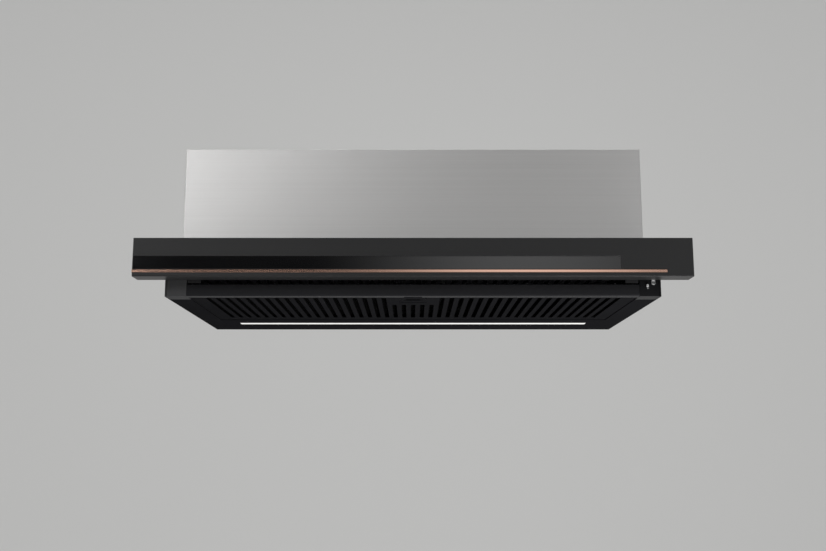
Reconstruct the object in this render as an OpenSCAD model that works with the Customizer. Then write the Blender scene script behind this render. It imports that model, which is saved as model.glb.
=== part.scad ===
// Pull out range hood for a 600 mm cabinet: a fixed body with its blower, a lower frame with a slotted
// grease filter, and a carriage on ball rails that carries the fascia.
// Origin: wall plane, centre line, level of the fascia's top edge. The front faces -Y.

/* [Upper body] */
// Height from the underside of the frame to the top of the body
body_h = 180; // [176:1:230]
// Width of the upper body
body_w = 526; // [480:1:528]
// How far the face of the upper body lies behind the front of the lower frame
face_setback = 48; // [40:1:52]
// Thickness of the body sheet
sheet = 1; // [0.8:0.1:1.4]
// Thickness of the stainless front panel
panel_t = 0.8; // [0.6:0.1:1.2]
// Width of the folded edges of the sheet parts
fold_w = 14; // [10:1:18]

/* [Lower frame] */
// Width of the lower frame
frame_w = 540; // [532:1:556]
// Depth of the lower frame from the wall
frame_d = 300; // [294:1:312]
// Height of the front bar and of the frame's sides
bar_h = 13.4; // [12.4:0.2:15]
// Depth of the front bar
bar_d = 9; // [7:0.5:11]
// Width of a corner block and of the frame's side strips
cap_w = 24; // [20:1:28]
// Depth of a corner block
cap_d = 24; // [18:1:30]
// Height of a corner block
cap_h = 22.8; // [20:0.2:23]
// Width of the trim strip on a corner block
trim_w = 2.5; // [1.5:0.1:4]
// Wall of the moulded parts
mould = 1.6; // [1.2:0.1:2.2]
// Depth of the rear cross member
rear_d = 100; // [92:1:108]

/* [Fascia] */
// Width of the fascia
fascia_w = 598; // [580:1:600]
// Height of the fascia
fascia_h = 42; // [40:1:48]
// Thickness of the fascia
fascia_t = 23; // [18:1:30]
// Gap between the fascia and the lower frame
fascia_gap = 2; // [1.5:0.1:4]
// How far the frame's underside lies below the fascia
under_drop = 17.5; // [16.5:0.5:22]
// Wall of the fascia profile
fascia_wall = 2; // [1.6:0.1:3]
// Height of the glass inlay
glass_h = 14.2; // [8:0.1:18]
// Level of the glass inlay's top edge below the fascia's top
glass_drop = 20; // [16:0.5:21]
// Distance of the glass inlay's end from the right end of the fascia
glass_end = 77.6; // [40:0.2:160]
// Thickness of the glass inlay
glass_t = 1; // [0.6:0.1:1.4]
// Height of the copper line
copper_h = 3.5; // [2.5:0.1:4.5]
// Height of the copper line's centre above the fascia's bottom edge
copper_up = 5.9; // [5:0.1:7]
// Distance of the copper line's end from the right end of the fascia
copper_end = 28.5; // [10:0.5:80]
// Thickness of the copper line
copper_t = 1.2; // [0.8:0.1:1.5]

/* [Carriage] */
// Travel of the carriage
travel = 170; // [120:1:176]
// Thickness of the carriage sheet
deck_t = 1.2; // [1:0.1:1.5]
// Level of the carriage roof below the fascia's top
deck_drop = 4; // [3:0.5:5]
// Height of the carriage roof and its sides
deck_h = 32.2; // [30:0.2:33]
// Thickness of the carriage filter
tray_t = 4; // [3:0.5:6]

/* [Ball rails] */
// Height of the fixed rail
rail_h = 27; // [25:0.5:28]
// Depth of the rail pair between the body and the carriage
rail_t = 10.8; // [10:0.2:12]
// Wall of the rails
rail_wall = 1.2; // [1:0.1:1.4]
// Height of the inner rail
inner_h = 16; // [14:0.5:17]
// Balls along one side of a cage
ball_count = 6; // [4:1:7]
// Running clearance of balls, rails and sliding parts
run_gap = 0.3; // [0.2:0.05:0.4]

/* [Grease filter] */
// Thickness of the grease filter
filter_t = 8; // [7:0.2:8.6]
// Thickness of the filter's slotted face
face_t = 1; // [0.8:0.1:1.2]
// Number of slots
slot_count = 43; // [31:2:43]
// Pitch of the slots
slot_pitch = 10.8; // [9:0.1:10.9]
// Width of a slot
slot_w = 5.2; // [3:0.1:6]
// Number of short slots behind the latch
short_count = 5; // [3:2:7]
// Distance of the slots' front ends from the frame's front
slot_front = 19; // [17:0.5:26]
// Distance of the short slots' front ends from the frame's front
short_front = 71; // [60:1:90]
// Margin between the slots' rear ends and the filter's rear edge
slot_end = 15.5; // [12:0.5:30]
// Width of the latch plate
latch_w = 29; // [24:1:32]
// Length of the latch plate
latch_l = 30; // [24:1:32]
// Travel of the latch
latch_travel = 4; // [3:0.5:5]
// Angle that the filter swings down
filter_swing = 80; // [45:5:90]

/* [Light] */
// Length of the light strip
led_w = 453; // [300:1:480]
// Width of the light strip
led_d = 14; // [10:0.5:18]
// Distance of the light strip's centre from the wall
led_y = 64; // [50:1:74]
// Number of LEDs on the board
led_count = 30; // [10:1:40]

/* [Blower] */
// Radius of the fan wheel
wheel_r = 46; // [40:0.5:46.5]
// Width of the fan wheel
wheel_w = 90; // [70:1:92]
// Number of blades
blade_count = 32; // [20:1:36]
// Gap between the wheel and the scroll's tongue
tongue_gap = 4; // [3:0.2:4.5]
// Growth of the scroll's radius from its tongue to its outlet
scroll_growth = 18; // [12:0.5:18.5]
// Wall of the scroll
scroll_wall = 2; // [1.6:0.1:2.2]
// Radius of the scroll's inlets
inlet_r = 36; // [33:0.5:38]
// Radius of the motor
motor_r = 25; // [20:0.5:27]
// Length of the motor
motor_l = 46; // [40:1:48]
// Radius of the motor shaft
shaft_r = 3; // [2.5:0.1:4]

/* [Outlet] */
// Outer radius of the outlet collar
collar_r = 60; // [58:0.5:62]
// Wall of the outlet collar
collar_wall = 1.8; // [1.5:0.1:2.2]
// Height of the outlet collar above the body
collar_h = 28; // [22:1:40]
// Distance of the outlet's axis from the wall
outlet_y = 80; // [76:1:86]
// Angle that a damper flap opens
flap_swing = 80; // [60:5:85]

/* [Controls] */
// Width of the fan button
fan_button_w = 4.3; // [3:0.1:5]
// Height of the fan button
fan_button_h = 6.5; // [5:0.1:7]
// Width of the light button
light_button_w = 2.5; // [2:0.1:3.5]
// Height of the light button
light_button_h = 5; // [4:0.1:6]
// How far a button stands out of its corner block
button_proud = 1.4; // [1:0.1:1.5]
// Travel of a button
button_travel = 1; // [0.6:0.1:1.2]
// Width of the control box
box_w = 110; // [90:1:130]
// Depth of the control box
box_d = 62; // [56:1:66]
// Height of the control box
box_h = 38; // [30:1:46]

/* [Cabinet brackets] */
// How far a bracket reaches out from the body
reach = 17; // [14:0.5:20]
// Length of a bracket
bracket_l = 60; // [50:1:80]
// Height of a bracket
bracket_h = 46; // [36:1:48]
// Distance of a bracket's centre from the wall
bracket_y = 135; // [110:1:160]
// Distance between the two cabinet holes of a bracket
hole_pitch = 40; // [30:1:44]
// Radius of the cabinet holes
cabinet_hole_r = 2.3; // [2:0.1:3]

/* [Hidden] */
$fn = 48;

satin_black = [0.17, 0.17, 0.18];
frame_black = [0.09, 0.09, 0.1];
steel = [0.72, 0.72, 0.73];
zinc = [0.6, 0.62, 0.63];

// Clearances
slip = 0.15; // between a moulded part and the opening that it sits in
pin_gap = 0.06; // radial, of a pin in its bore
seat = 0.3; // between bodies that only lie close

// Levels and planes
z_under = -(fascia_h + under_drop);
z_top = z_under + body_h;
z_ceiling = z_top - sheet;
z_bar = z_under + bar_h;
y_frame = -frame_d;
y_fascia = y_frame - fascia_gap;
y_face = y_frame + face_setback;
y_panel_back = y_face + panel_t;
y_cheek = y_frame + cap_d;
y_bar_back = y_frame + bar_d;
body_x = body_w / 2;
frame_x = frame_w / 2;
fascia_x = fascia_w / 2;
window_x = frame_x - cap_w; // half width of the filter opening
deck_top = -deck_drop;
deck_bottom = deck_top - deck_h;
deck_x = body_x - sheet - rail_t; // outer face of the carriage sides
z_cheek = deck_top + 2; // top of the body's low side plates
panel_low = deck_top + 2.5; // lower edge of the stainless panel

function arc(cx, cy, r, a0, a1, n = 5) =
    [for (i = [0:n]) let (a = a0 + (a1 - a0) * i / n) [cx + r * cos(a), cy + r * sin(a)]];

function round_rect(x0, y0, x1, y1, r, n = 4) = concat(
    arc(x1 - r, y1 - r, r, 0, 90, n),
    arc(x0 + r, y1 - r, r, 90, 180, n),
    arc(x0 + r, y0 + r, r, 180, 270, n),
    arc(x1 - r, y0 + r, r, 270, 360, n)
);

// A block between two opposite corners
module block(a, b) {
    translate([min(a[0], b[0]), min(a[1], b[1]), min(a[2], b[2])])
        cube([abs(b[0] - a[0]), abs(b[1] - a[1]), abs(b[2] - a[2])]);
}

// Extrudes a profile of (y, z) points along X
module along_x(x0, x1) {
    translate([x0, 0, 0]) rotate([90, 0, 90]) linear_extrude(x1 - x0) children();
}

// Extrudes a profile of (x, z) points along Y
module along_y(y0, y1) {
    translate([0, y1, 0]) rotate([90, 0, 0]) linear_extrude(y1 - y0) children();
}

// Extrudes a profile of (x, y) points upwards
module up_z(z0, z1) {
    translate([0, 0, z0]) linear_extrude(z1 - z0) children();
}

// Cylinders along the three axes, from a start point
module rod_x(p, r, l) {
    translate(p) rotate([0, 90, 0]) cylinder(h = l, r = r);
}

module rod_y(p, r, l) {
    translate(p) rotate([-90, 0, 0]) cylinder(h = l, r = r);
}

module rod_z(p, r, l) {
    translate(p) cylinder(h = l, r = r);
}

module left_side() {
    mirror([1, 0, 0]) children();
}

module both_sides() {
    children();
    mirror([1, 0, 0]) children();
}

// Screws: pan head above z = 0 and shank below
screw_r = 1.5;
screw_head_r = 3;
screw_head_h = 1.8;
screw_hole_r = screw_r + pin_gap;

module screw(l) {
    translate([0, 0, -l]) cylinder(h = l + 0.01, r = screw_r);
    difference() {
        rotate_extrude() polygon(concat(
            [[0, 0], [screw_head_r, 0]],
            arc(screw_head_r - 1, screw_head_h - 1, 1, 0, 90, 3),
            [[0, screw_head_h]]
        ));
        for (a = [0, 90])
            translate([0, 0, screw_head_h]) rotate(a) cube([3.2, 0.7, 1.6], center = true);
    }
}

// Sheet body
outlet_hole_r = collar_r + 2.5;
flange_w = 11; // width of the collar's flange
flange_t = 2;
flange_screw_r = collar_r + 6;
collar_screw_at = [for (a = [0:90:270]) [flange_screw_r * cos(a), -outlet_y + flange_screw_r * sin(a)]];
frame_screw_x = body_x - fold_w / 2;
frame_screw_y = [y_cheek + 16, y_face / 2 - 14, -26];
bracket_top = 22; // top of a bracket above the fascia's top
bracket_screw_z = 12;
bracket_screw_dy = 18;
gland_x = body_x - 73;
gland_y = -50;
gland_r = 8;

// Rear wall and ceiling, folded from one sheet
module housing() {
    x = body_x - fold_w; // the folds end at those of the sides
    color(zinc) difference() {
        union() {
            block([-body_x, -sheet, z_bar], [body_x, 0, z_top]);
            block([-x, -fold_w, z_bar], [x, 0, z_bar + sheet]);
            block([-body_x, y_panel_back, z_ceiling], [body_x, 0, z_top]);
            block([-x, y_panel_back, z_top - fold_w], [x, y_panel_back + sheet, z_top]);
            // embossed stiffening pads of the rear wall
            for (x = [-0.6, 0, 0.6])
                along_x(x * body_x - 50, x * body_x + 50)
                    polygon([[-sheet, 0], [-sheet - 3, 6], [-sheet - 3, 60], [-sheet, 66]]);
        }
        rod_z([0, -outlet_y, z_ceiling - 1], outlet_hole_r, 3);
        rod_z([gland_x, gland_y, z_ceiling - 1], gland_r + slip, 3);
        for (p = collar_screw_at)
            rod_z([p[0], p[1], z_ceiling - 1], screw_hole_r, 3);
        for (p = scroll_lug_at)
            rod_z([p[0], p[1], z_ceiling - 1], screw_hole_r, 3);
    }
}

// Side of the body, with a low part that reaches forward beside the carriage
module body_side() {
    x = body_x - fold_w;
    color(zinc) difference() {
        union() {
            along_x(body_x - sheet, body_x) polygon([
                [y_cheek, z_bar], [-sheet, z_bar], [-sheet, z_ceiling], [y_panel_back, z_ceiling],
                [y_panel_back, z_cheek], [y_cheek, z_cheek],
            ]);
            block([x, y_cheek, z_bar], [body_x, -sheet, z_bar + sheet]);
            block([x, y_panel_back, deck_top + 6], [body_x, y_panel_back + sheet, z_ceiling]);
        }
        for (y = frame_screw_y)
            rod_z([frame_screw_x, y, z_bar - 1], screw_hole_r, 3);
        for (s = [-1, 1])
            rod_x([body_x - 2, -bracket_y + s * bracket_screw_dy, bracket_screw_z], screw_hole_r, 4);
    }
}

module body_side_right() {
    body_side();
}

module body_side_left() {
    left_side() body_side();
}

module front_panel() {
    r = 1.4; // bend of the lower edge
    lip = 12;
    x = body_x - sheet - slip; // the folded edge fits between the body's sides
    color(steel) {
        block([-body_x, y_face, panel_low + r], [body_x, y_panel_back, z_top]);
        along_x(-x, x) polygon(concat(
            [[y_face, panel_low + r + 1]],
            arc(y_face + r, panel_low + r, r, 180, 270, 4),
            [[y_face + lip, panel_low], [y_face + lip, panel_low + panel_t]],
            arc(y_face + r, panel_low + r, r - panel_t, 270, 180, 3),
            [[y_panel_back, panel_low + r + 1]]
        ));
    }
}

// Lower frame
rib_pitch = 62;
boss_r = 3.6;
trunnion_r = 1.5;
trunnion_l = 2.4;
filter_z0 = z_under + 0.8;
filter_z1 = filter_z0 + filter_t;
rear_gap = 1.5; // behind the filter, room for its corner to swing
pivot_y = -rear_d - 4;
pivot_z = filter_z0 + face_t + trunnion_r + 0.1;
channel_w = led_d + 4;
shelf_h = 3; // thickness of the shelf above the filter's front edge
shelf_join = 8; // how far the shelf runs back along the side walls
channel_foot = 3; // width of the light channel's feet
lead_x = window_x + 4.6; // lead of the buttons, in the right side of the frame
lead_z = z_under + 7.5;
lead_r = 1.5;

module frame_outline(x, y0, y1) {
    translate([-x, y0]) square([2 * x, y1 - y0]);
}

module base_frame() {
    y0 = y_bar_back + slip;
    corner_y = y_cheek;
    wall_low = z_under + mould;
    rib_l = led_y - channel_w / 2 - channel_foot - slip; // ribs behind the light channel
    shelf_x = window_x + mould; // outer faces of the window's walls
    color(frame_black) difference() {
        union() {
            // floor with the filter window, the light slot and the corners left open
            up_z(z_under, wall_low) difference() {
                frame_outline(frame_x, corner_y, 0);
                frame_outline(window_x, corner_y - 1, -rear_d);
                translate([-led_w / 2 - slip, -led_y - led_d / 2 - slip])
                    square([led_w + 2 * slip, led_d + 2 * slip]);
            }
            // upright walls
            up_z(wall_low - 0.01, z_bar) {
                difference() {
                    frame_outline(frame_x, corner_y, 0);
                    frame_outline(frame_x - mould, corner_y - 1, -mould);
                }
                for (s = [-1, 1])
                    translate([s * (window_x + mould / 2) - mould / 2, corner_y])
                        square([mould, -corner_y - rear_d]);
                translate([-shelf_x, -rear_d]) square([2 * shelf_x, mould]);
                for (s = [-1, 1], i = [0:floor((-corner_y - 1) / rib_pitch)])
                    translate([s > 0 ? window_x : -frame_x, corner_y + i * rib_pitch])
                        square([cap_w, mould]);
                for (i = [-3:3])
                    translate([i * (window_x / 3.6) - mould / 2, -rib_l]) square([mould, rib_l]);
            }
            // shelf over the filter's front edge
            block([-window_x, y0, z_bar - shelf_h], [window_x, corner_y + shelf_join, z_bar]);
            block([-shelf_x, corner_y, z_bar - shelf_h], [shelf_x, corner_y + shelf_join, z_bar]);
            both_sides() for (y = frame_screw_y)
                rod_z([frame_screw_x, y, z_under + 0.2], boss_r, z_bar - z_under - 0.2);
        }
        both_sides() {
            for (y = frame_screw_y)
                rod_z([frame_screw_x, y, z_under + 3], screw_hole_r, bar_h);
            rod_x([window_x - 1, pivot_y, pivot_z], trunnion_r + pin_gap, 1 + mould + 1);
            rod_y([lead_x, corner_y - 1, lead_z], lead_r + 0.5, -corner_y - 40);
            for (x = [bar_screw_x, bar_screw_x / 3])
                rod_z([x, y0 + 7, z_bar - shelf_h - 1], screw_hole_r, shelf_h + 2);
        }
    }
}

// Front bar: a thin moulded C profile with tabs that lie on the frame's shelf
bar_screw_x = window_x - 40;
tab_t = 1.5;
tongue_t = 3;
tongue_z = z_under + 3.7;
bar_fillet = 0.6; // inside the bar's lower corner

module front_bar() {
    r = 2;
    x = window_x - slip;
    color(frame_black) {
        difference() {
            union() {
                along_x(-x, x) polygon(concat(
                    [[y_bar_back, z_bar]],
                    arc(y_frame + 1, z_bar - 1, 1, 90, 180, 3),
                    arc(y_frame + r, z_under + r, r, 180, 270, 5),
                    [
                        [y_bar_back, z_under], [y_bar_back, z_under + mould],
                        [y_frame + mould + bar_fillet, z_under + mould],
                        [y_frame + mould, z_under + mould + bar_fillet],
                        [y_frame + mould, z_bar - mould], [y_bar_back, z_bar - mould],
                    ]
                ));
                both_sides() for (x = [bar_screw_x, bar_screw_x / 3])
                    block([x - 9, y_bar_back - 1, z_bar - tab_t], [x + 9, y_bar_back, z_bar]);
                both_sides() for (x = [bar_screw_x, bar_screw_x / 3])
                    up_z(z_bar, z_bar + tab_t) polygon([
                        [x - 9, y_bar_back - 5], [x + 9, y_bar_back - 5], [x + 9, y_bar_back + 8],
                        [x + 5, y_bar_back + 14], [x - 5, y_bar_back + 14], [x - 9, y_bar_back + 8],
                    ]);
                for (i = [-4:4])
                    if (i != 0)
                        block([i * window_x / 4.5 - 0.7, y_frame + mould - 0.1, z_under + mould - 0.1],
                            [i * window_x / 4.5 + 0.7, y_bar_back - 1.5, z_bar - mould + 0.1]);
            }
            both_sides() for (x = [bar_screw_x, bar_screw_x / 3])
                rod_z([x, y_bar_back + slip + 7, z_bar - 1], screw_hole_r, tab_t + 2);
            // notch that the latch's tongue leaves through
            block([-clip_x - 2, y_bar_back - latch_travel - 0.5, z_under - 1],
                [clip_x + 2, y_bar_back + 1, z_bar - mould - 3]);
        }
    }
}

// Spring clip in the bar that the filter's latch snaps over
clip_x = 8;
clip_t = 0.5;

module catch_clip() {
    y0 = y_frame + mould;
    y1 = y_bar_back - latch_travel - 0.2;
    z0 = z_under + mould;
    z1 = tongue_z - run_gap;
    z2 = z_bar - mould - run_gap;
    color(steel) along_x(-clip_x, clip_x) polygon([
        [y0, z2], [y0, z0 + bar_fillet], [y0 + bar_fillet, z0], [y1, z0], [y1 + 2, z1 - clip_t],
        [y1 + 3.4, z1 - clip_t - 0.7], [y1 + 3.7, z1 - 0.7], [y1 + 2, z1], [y1 - 0.3, z0 + clip_t],
        [y0 + bar_fillet + 0.2, z0 + clip_t], [y0 + clip_t, z0 + bar_fillet + 0.2], [y0 + clip_t, z2],
    ]);
}

// Corner blocks, with the buttons in the right one
fan_button_x = frame_x - 9;
fan_button_z = z_under + 15.4;
light_button_x = frame_x - 15.3;
light_button_z = z_under + 10.4;
cap_wall = 1.8;
seam_w = 0.4;
seam_d = 0.5;
button_slip = 0.12;

module oval(w, h) {
    translate([0, -(h - w) / 2]) circle(d = w);
    translate([0, (h - w) / 2]) circle(d = w);
    translate([-w / 2, -(h - w) / 2]) square([w, h - w]);
}

module oval_prism(x, z, w, h, y0, y1) {
    along_y(y0, y1) translate([x, z]) oval(w, h);
}

module end_cap() {
    x0 = window_x + slip;
    y1 = y_cheek - slip;
    r = 3;
    top = z_under + cap_h;
    outer = concat(
        [[x0, y1], [x0, y_frame]],
        arc(frame_x - r, y_frame + r, r, 270, 360, 5),
        [[frame_x, y1]]
    );
    inner = concat(
        [[x0 + cap_wall, y1 + 1], [x0 + cap_wall, y_frame + cap_wall]],
        arc(frame_x - r, y_frame + r, r - cap_wall, 270, 360, 4),
        [[frame_x - cap_wall, y1 + 1]]
    );
    difference() {
        up_z(z_under, top) polygon(outer);
        up_z(z_under + cap_wall, top - cap_wall) polygon(inner);
        // seam of the trim strip
        seam = frame_x - trim_w;
        block([seam - seam_w, y_frame - 1, z_under - 1], [seam, y_frame + seam_d, top + 1]);
        block([seam - seam_w, y_frame - 1, z_under - 1], [seam, y1 + 1, z_under + seam_d]);
        block([seam - seam_w, y_frame - 1, top - seam_d], [seam, y1 + 1, top + 1]);
    }
    // guide ribs of the switch board
    block([x0 + cap_wall - 0.1, board_y - 1.2, z_under + cap_wall - 0.1],
        [x0 + cap_wall + 1, board_y - seat / 3, top - cap_wall + 0.1]);
    block([frame_x - cap_wall - 1, board_y - 1.2, z_under + cap_wall - 0.1],
        [frame_x - cap_wall + 0.1, board_y - seat / 3, top - cap_wall + 0.1]);
}

module end_cap_right() {
    color(frame_black) difference() {
        end_cap();
        oval_prism(fan_button_x, fan_button_z, fan_button_w + 2 * button_slip,
            fan_button_h + 2 * button_slip, y_frame - 1, y_frame + cap_wall + 1);
        oval_prism(light_button_x, light_button_z, light_button_w + 2 * button_slip,
            light_button_h + 2 * button_slip, y_frame - 1, y_frame + cap_wall + 1);
    }
}

module end_cap_left() {
    color(frame_black) left_side() end_cap();
}

board_t = 1.6;
button_stem = 6; // from the block's front to the rear end of a button
board_y = y_frame + button_stem + button_travel + 1.2 + seat;

module button(x, z, w, h) {
    color([0.85, 0.85, 0.87]) {
        difference() {
            oval_prism(x, z, w, h, y_frame - button_proud, y_frame + button_stem);
            // shallow dish in the face
            translate([x, y_frame - button_proud - 5.6, z]) sphere(r = 6);
        }
        // collar that keeps the button in its hole
        oval_prism(x, z, w + 1.2, h + 1.2, y_frame + cap_wall + seat, y_frame + cap_wall + seat + 1.2);
    }
}

module fan_button() {
    button(fan_button_x, fan_button_z, fan_button_w, fan_button_h);
}

module light_button() {
    button(light_button_x, light_button_z, light_button_w, light_button_h);
}

module switch_board() {
    color([0.1, 0.35, 0.2]) {
        block([window_x + slip + cap_wall + 0.3, board_y, z_under + cap_wall + 0.3],
            [frame_x - cap_wall - 0.3, board_y + board_t, z_under + cap_h - cap_wall - 0.3]);
        for (p = [[fan_button_x, fan_button_z], [light_button_x, light_button_z]])
            rod_y([p[0], board_y - 1.2, p[1]], 1.1, 1.3);
    }
}

// Light strip
channel_h = 8;
channel_wall = 1;
diffuser_lip = 1;
z_floor = z_under + mould;

module led_channel() {
    w = channel_w / 2;
    foot = w + channel_foot;
    inside = w - channel_wall;
    z1 = z_floor + channel_wall;
    z2 = z_floor + channel_h;
    color([0.75, 0.75, 0.76]) along_x(-led_w / 2 - 4, led_w / 2 + 4) translate([-led_y, 0]) polygon([
        [-foot, z_floor], [-inside, z_floor], [-inside, z2 - channel_wall], [inside, z2 - channel_wall],
        [inside, z_floor], [foot, z_floor], [foot, z1], [w, z1], [w, z2], [-w, z2], [-w, z1], [-foot, z1],
    ]);
}

module led_board() {
    z1 = z_floor + channel_h - channel_wall;
    w = channel_w / 2 - channel_wall - 0.5;
    color([0.9, 0.9, 0.88]) {
        block([-led_w / 2, -led_y - w, z1 - 1.2], [led_w / 2, -led_y + w, z1]);
        for (i = [0:led_count - 1])
            translate([(i + 0.5 - led_count / 2) * led_w / led_count, -led_y, z1 - 1.7])
                cube([3.5, 2.8, 1.02], center = true);
    }
}

module led_diffuser() {
    w = led_d / 2;
    y = -led_y;
    l = channel_w / 2 - channel_wall - slip;
    color([0.97, 0.97, 0.95]) along_x(-led_w / 2, led_w / 2) polygon(concat(
        arc(y + w - 0.5, z_under + 0.5, 0.5, 360, 270, 3),
        arc(y - w + 0.5, z_under + 0.5, 0.5, 270, 180, 3),
        [[y - w, z_floor], [y - l, z_floor], [y - l, z_floor + diffuser_lip],
         [y + l, z_floor + diffuser_lip], [y + l, z_floor], [y + w, z_floor]]
    ));
}

// Ball rails. Depth is counted from the body's side sheet towards the carriage
rail_x = body_x - sheet;
rail_z = deck_top - deck_h / 2 - 0.4;
rail_rear = -40;
inner_rear = rail_rear - 4;
cage_front = y_cheek + 1 + travel / 2;
cage_l = 90; // longest cage
cage_rear = min(inner_rear - travel / 2 - 2, cage_front + cage_l);
inner_lip = 6.4; // depth of the inner rail's lips
ball_track = rail_h / 2 - rail_wall - inner_h / 2;
ball_d = ball_track - 2 * run_gap;
ball_z = inner_h / 2 + ball_track / 2;
ball_u = 6;
cage_t = 0.8;

module rail_profile(points) {
    polygon([for (p = points) [rail_x - p[0], rail_z + p[1]]]);
}

module fixed_rail() {
    h = rail_h / 2;
    t = rail_wall;
    lip = rail_t - run_gap - 0.5;
    color(zinc) difference() {
        along_y(y_cheek, rail_rear) rail_profile([
            [0, -h], [0, h], [lip, h], [lip, h - t - 0.8], [lip - 0.8, h - t - 0.8], [lip - 0.8, h - t],
            [t, h - t], [t, -h + t], [lip - 0.8, -h + t], [lip - 0.8, -h + t + 0.8], [lip, -h + t + 0.8],
            [lip, -h],
        ]);
        for (y = [y_cheek + 30, rail_rear - 30])
            rod_x([rail_x - 3, y, rail_z], 2.6, 4);
    }
}

module inner_rail() {
    h = inner_h / 2;
    t = rail_wall;
    u = rail_t;
    color(zinc) difference() {
        along_y(y_fascia + 8, inner_rear) rail_profile([
            [u, -h], [u - inner_lip, -h], [u - inner_lip, -h + t], [u - t, -h + t],
            [u - t, h - t], [u - inner_lip, h - t], [u - inner_lip, h], [u, h],
        ]);
        for (y = rail_screw_y)
            rod_x([rail_x - rail_t - 1, y, rail_z], screw_hole_r, 4);
    }
}

module ball_cage() {
    u0 = rail_wall + 0.5;
    u1 = rail_t - run_gap - 2;
    h = ball_z + cage_t / 2;
    step = (cage_rear - cage_front) / ball_count;
    color([0.8, 0.75, 0.55]) {
        difference() {
            along_y(cage_front, cage_rear) rail_profile([
                [u0, -h], [u0, h], [u1, h], [u1, h - cage_t], [u0 + cage_t, h - cage_t],
                [u0 + cage_t, -h + cage_t], [u1, -h + cage_t], [u1, -h],
            ]);
            for (i = [0:ball_count - 1])
                rod_z([rail_x - ball_u, cage_front + (i + 0.5) * step, rail_z - h - 1],
                    ball_d / 2 + 0.1, 2 * h + 2);
        }
        for (i = [0:ball_count - 1], s = [-1, 1])
            translate([rail_x - ball_u, cage_front + (i + 0.5) * step, rail_z + s * ball_z])
                sphere(d = ball_d, $fn = 32);
    }
}

module rail_fixed_right() {
    fixed_rail();
}

module rail_fixed_left() {
    left_side() fixed_rail();
}

module rail_inner_right() {
    inner_rail();
}

module rail_inner_left() {
    left_side() inner_rail();
}

module ball_cage_right() {
    ball_cage();
}

module ball_cage_left() {
    left_side() ball_cage();
}

// Brackets that screw the body to the cabinet's sides
bracket_t = 1.5;

module side_bracket() {
    z0 = bracket_top - bracket_h;
    z1 = bracket_top;
    t = bracket_t;
    r = 3;
    x0 = body_x;
    x1 = body_x + reach;
    color(zinc) difference() {
        along_y(-bracket_y - bracket_l / 2, -bracket_y + bracket_l / 2) polygon(concat(
            [[x0, z0 + 10], [x0 + t, z0 + 10]],
            arc(x0 + r, z1 - r, r - t, 180, 90, 3),
            arc(x1 - r, z1 - r, r - t, 90, 0, 3),
            [[x1 - t, z0], [x1, z0]],
            arc(x1 - r, z1 - r, r, 0, 90, 4),
            arc(x0 + r, z1 - r, r, 90, 180, 4)
        ));
        for (s = [-1, 1]) {
            rod_x([x0 - 1, -bracket_y + s * bracket_screw_dy, bracket_screw_z], screw_hole_r, t + 2);
            rod_x([x1 - t - 1, -bracket_y + s * hole_pitch / 2, (z0 + z1) / 2], cabinet_hole_r, t + 2);
            // access hole for the screwdriver, beside the inner screw
            rod_x([x1 - t - 1, -bracket_y + s * bracket_screw_dy, bracket_screw_z],
                screw_head_r + 1, t + 2);
        }
    }
}

module side_bracket_right() {
    side_bracket();
}

module side_bracket_left() {
    left_side() side_bracket();
}

// Blower: a double-inlet wheel in a scroll of two halves that blows up into the outlet
tongue_a = 60;
scroll_in_r = wheel_r + tongue_gap;
scroll_end_r = scroll_in_r + scroll_growth;
scroll_x = wheel_w / 2 + 4; // inner half width
top_gap = 1.5; // between the scroll's back and the body's ceiling
axis_z = z_ceiling - top_gap - scroll_r(90) - scroll_wall;
throat_y = 15;
axis_y = -outlet_y - (throat_y + scroll_end_r) / 2;
head_h = z_ceiling - axis_z; // height of the ceiling above the axis

function scroll_r(a) = scroll_in_r + scroll_growth * (a - tongue_a) / (360 - tongue_a);

function spiral(wall, a0, n) =
    [for (i = [0:n]) let (a = a0 + (360 - a0) * i / n, r = scroll_r(a) + wall) [r * cos(a), r * sin(a)]];

// Profile of (y, z) points about the fan's axis
module on_axis() {
    translate([0, axis_y, axis_z]) children();
}

module scroll_outside() {
    polygon(concat(
        spiral(scroll_wall, tongue_a + 14, 36),
        [[scroll_end_r + scroll_wall, head_h], [throat_y - scroll_wall, head_h]]
    ));
}

module scroll_inside() {
    polygon(concat(spiral(0, tongue_a, 36), [[scroll_end_r, head_h + 1], [throat_y - 1, head_h + 1]]));
}

lug_x = collar_r + flange_w + 5; // clear of the collar's flange
lug_y = [axis_y + throat_y + 8, axis_y + scroll_end_r - 8];
scroll_lug_at = [for (s = [-1, 1], y = lug_y) [s * lug_x, y]];
bell_r = 4.5;
bell_wall = 1.6;
parting_a = [120, 180, 240, 300, 350];
parting_boss_r = 3.6;

function parting_at(a) = let (r = scroll_r(a) + scroll_wall + screw_head_r + 0.3) [r * cos(a), r * sin(a)];

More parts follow.
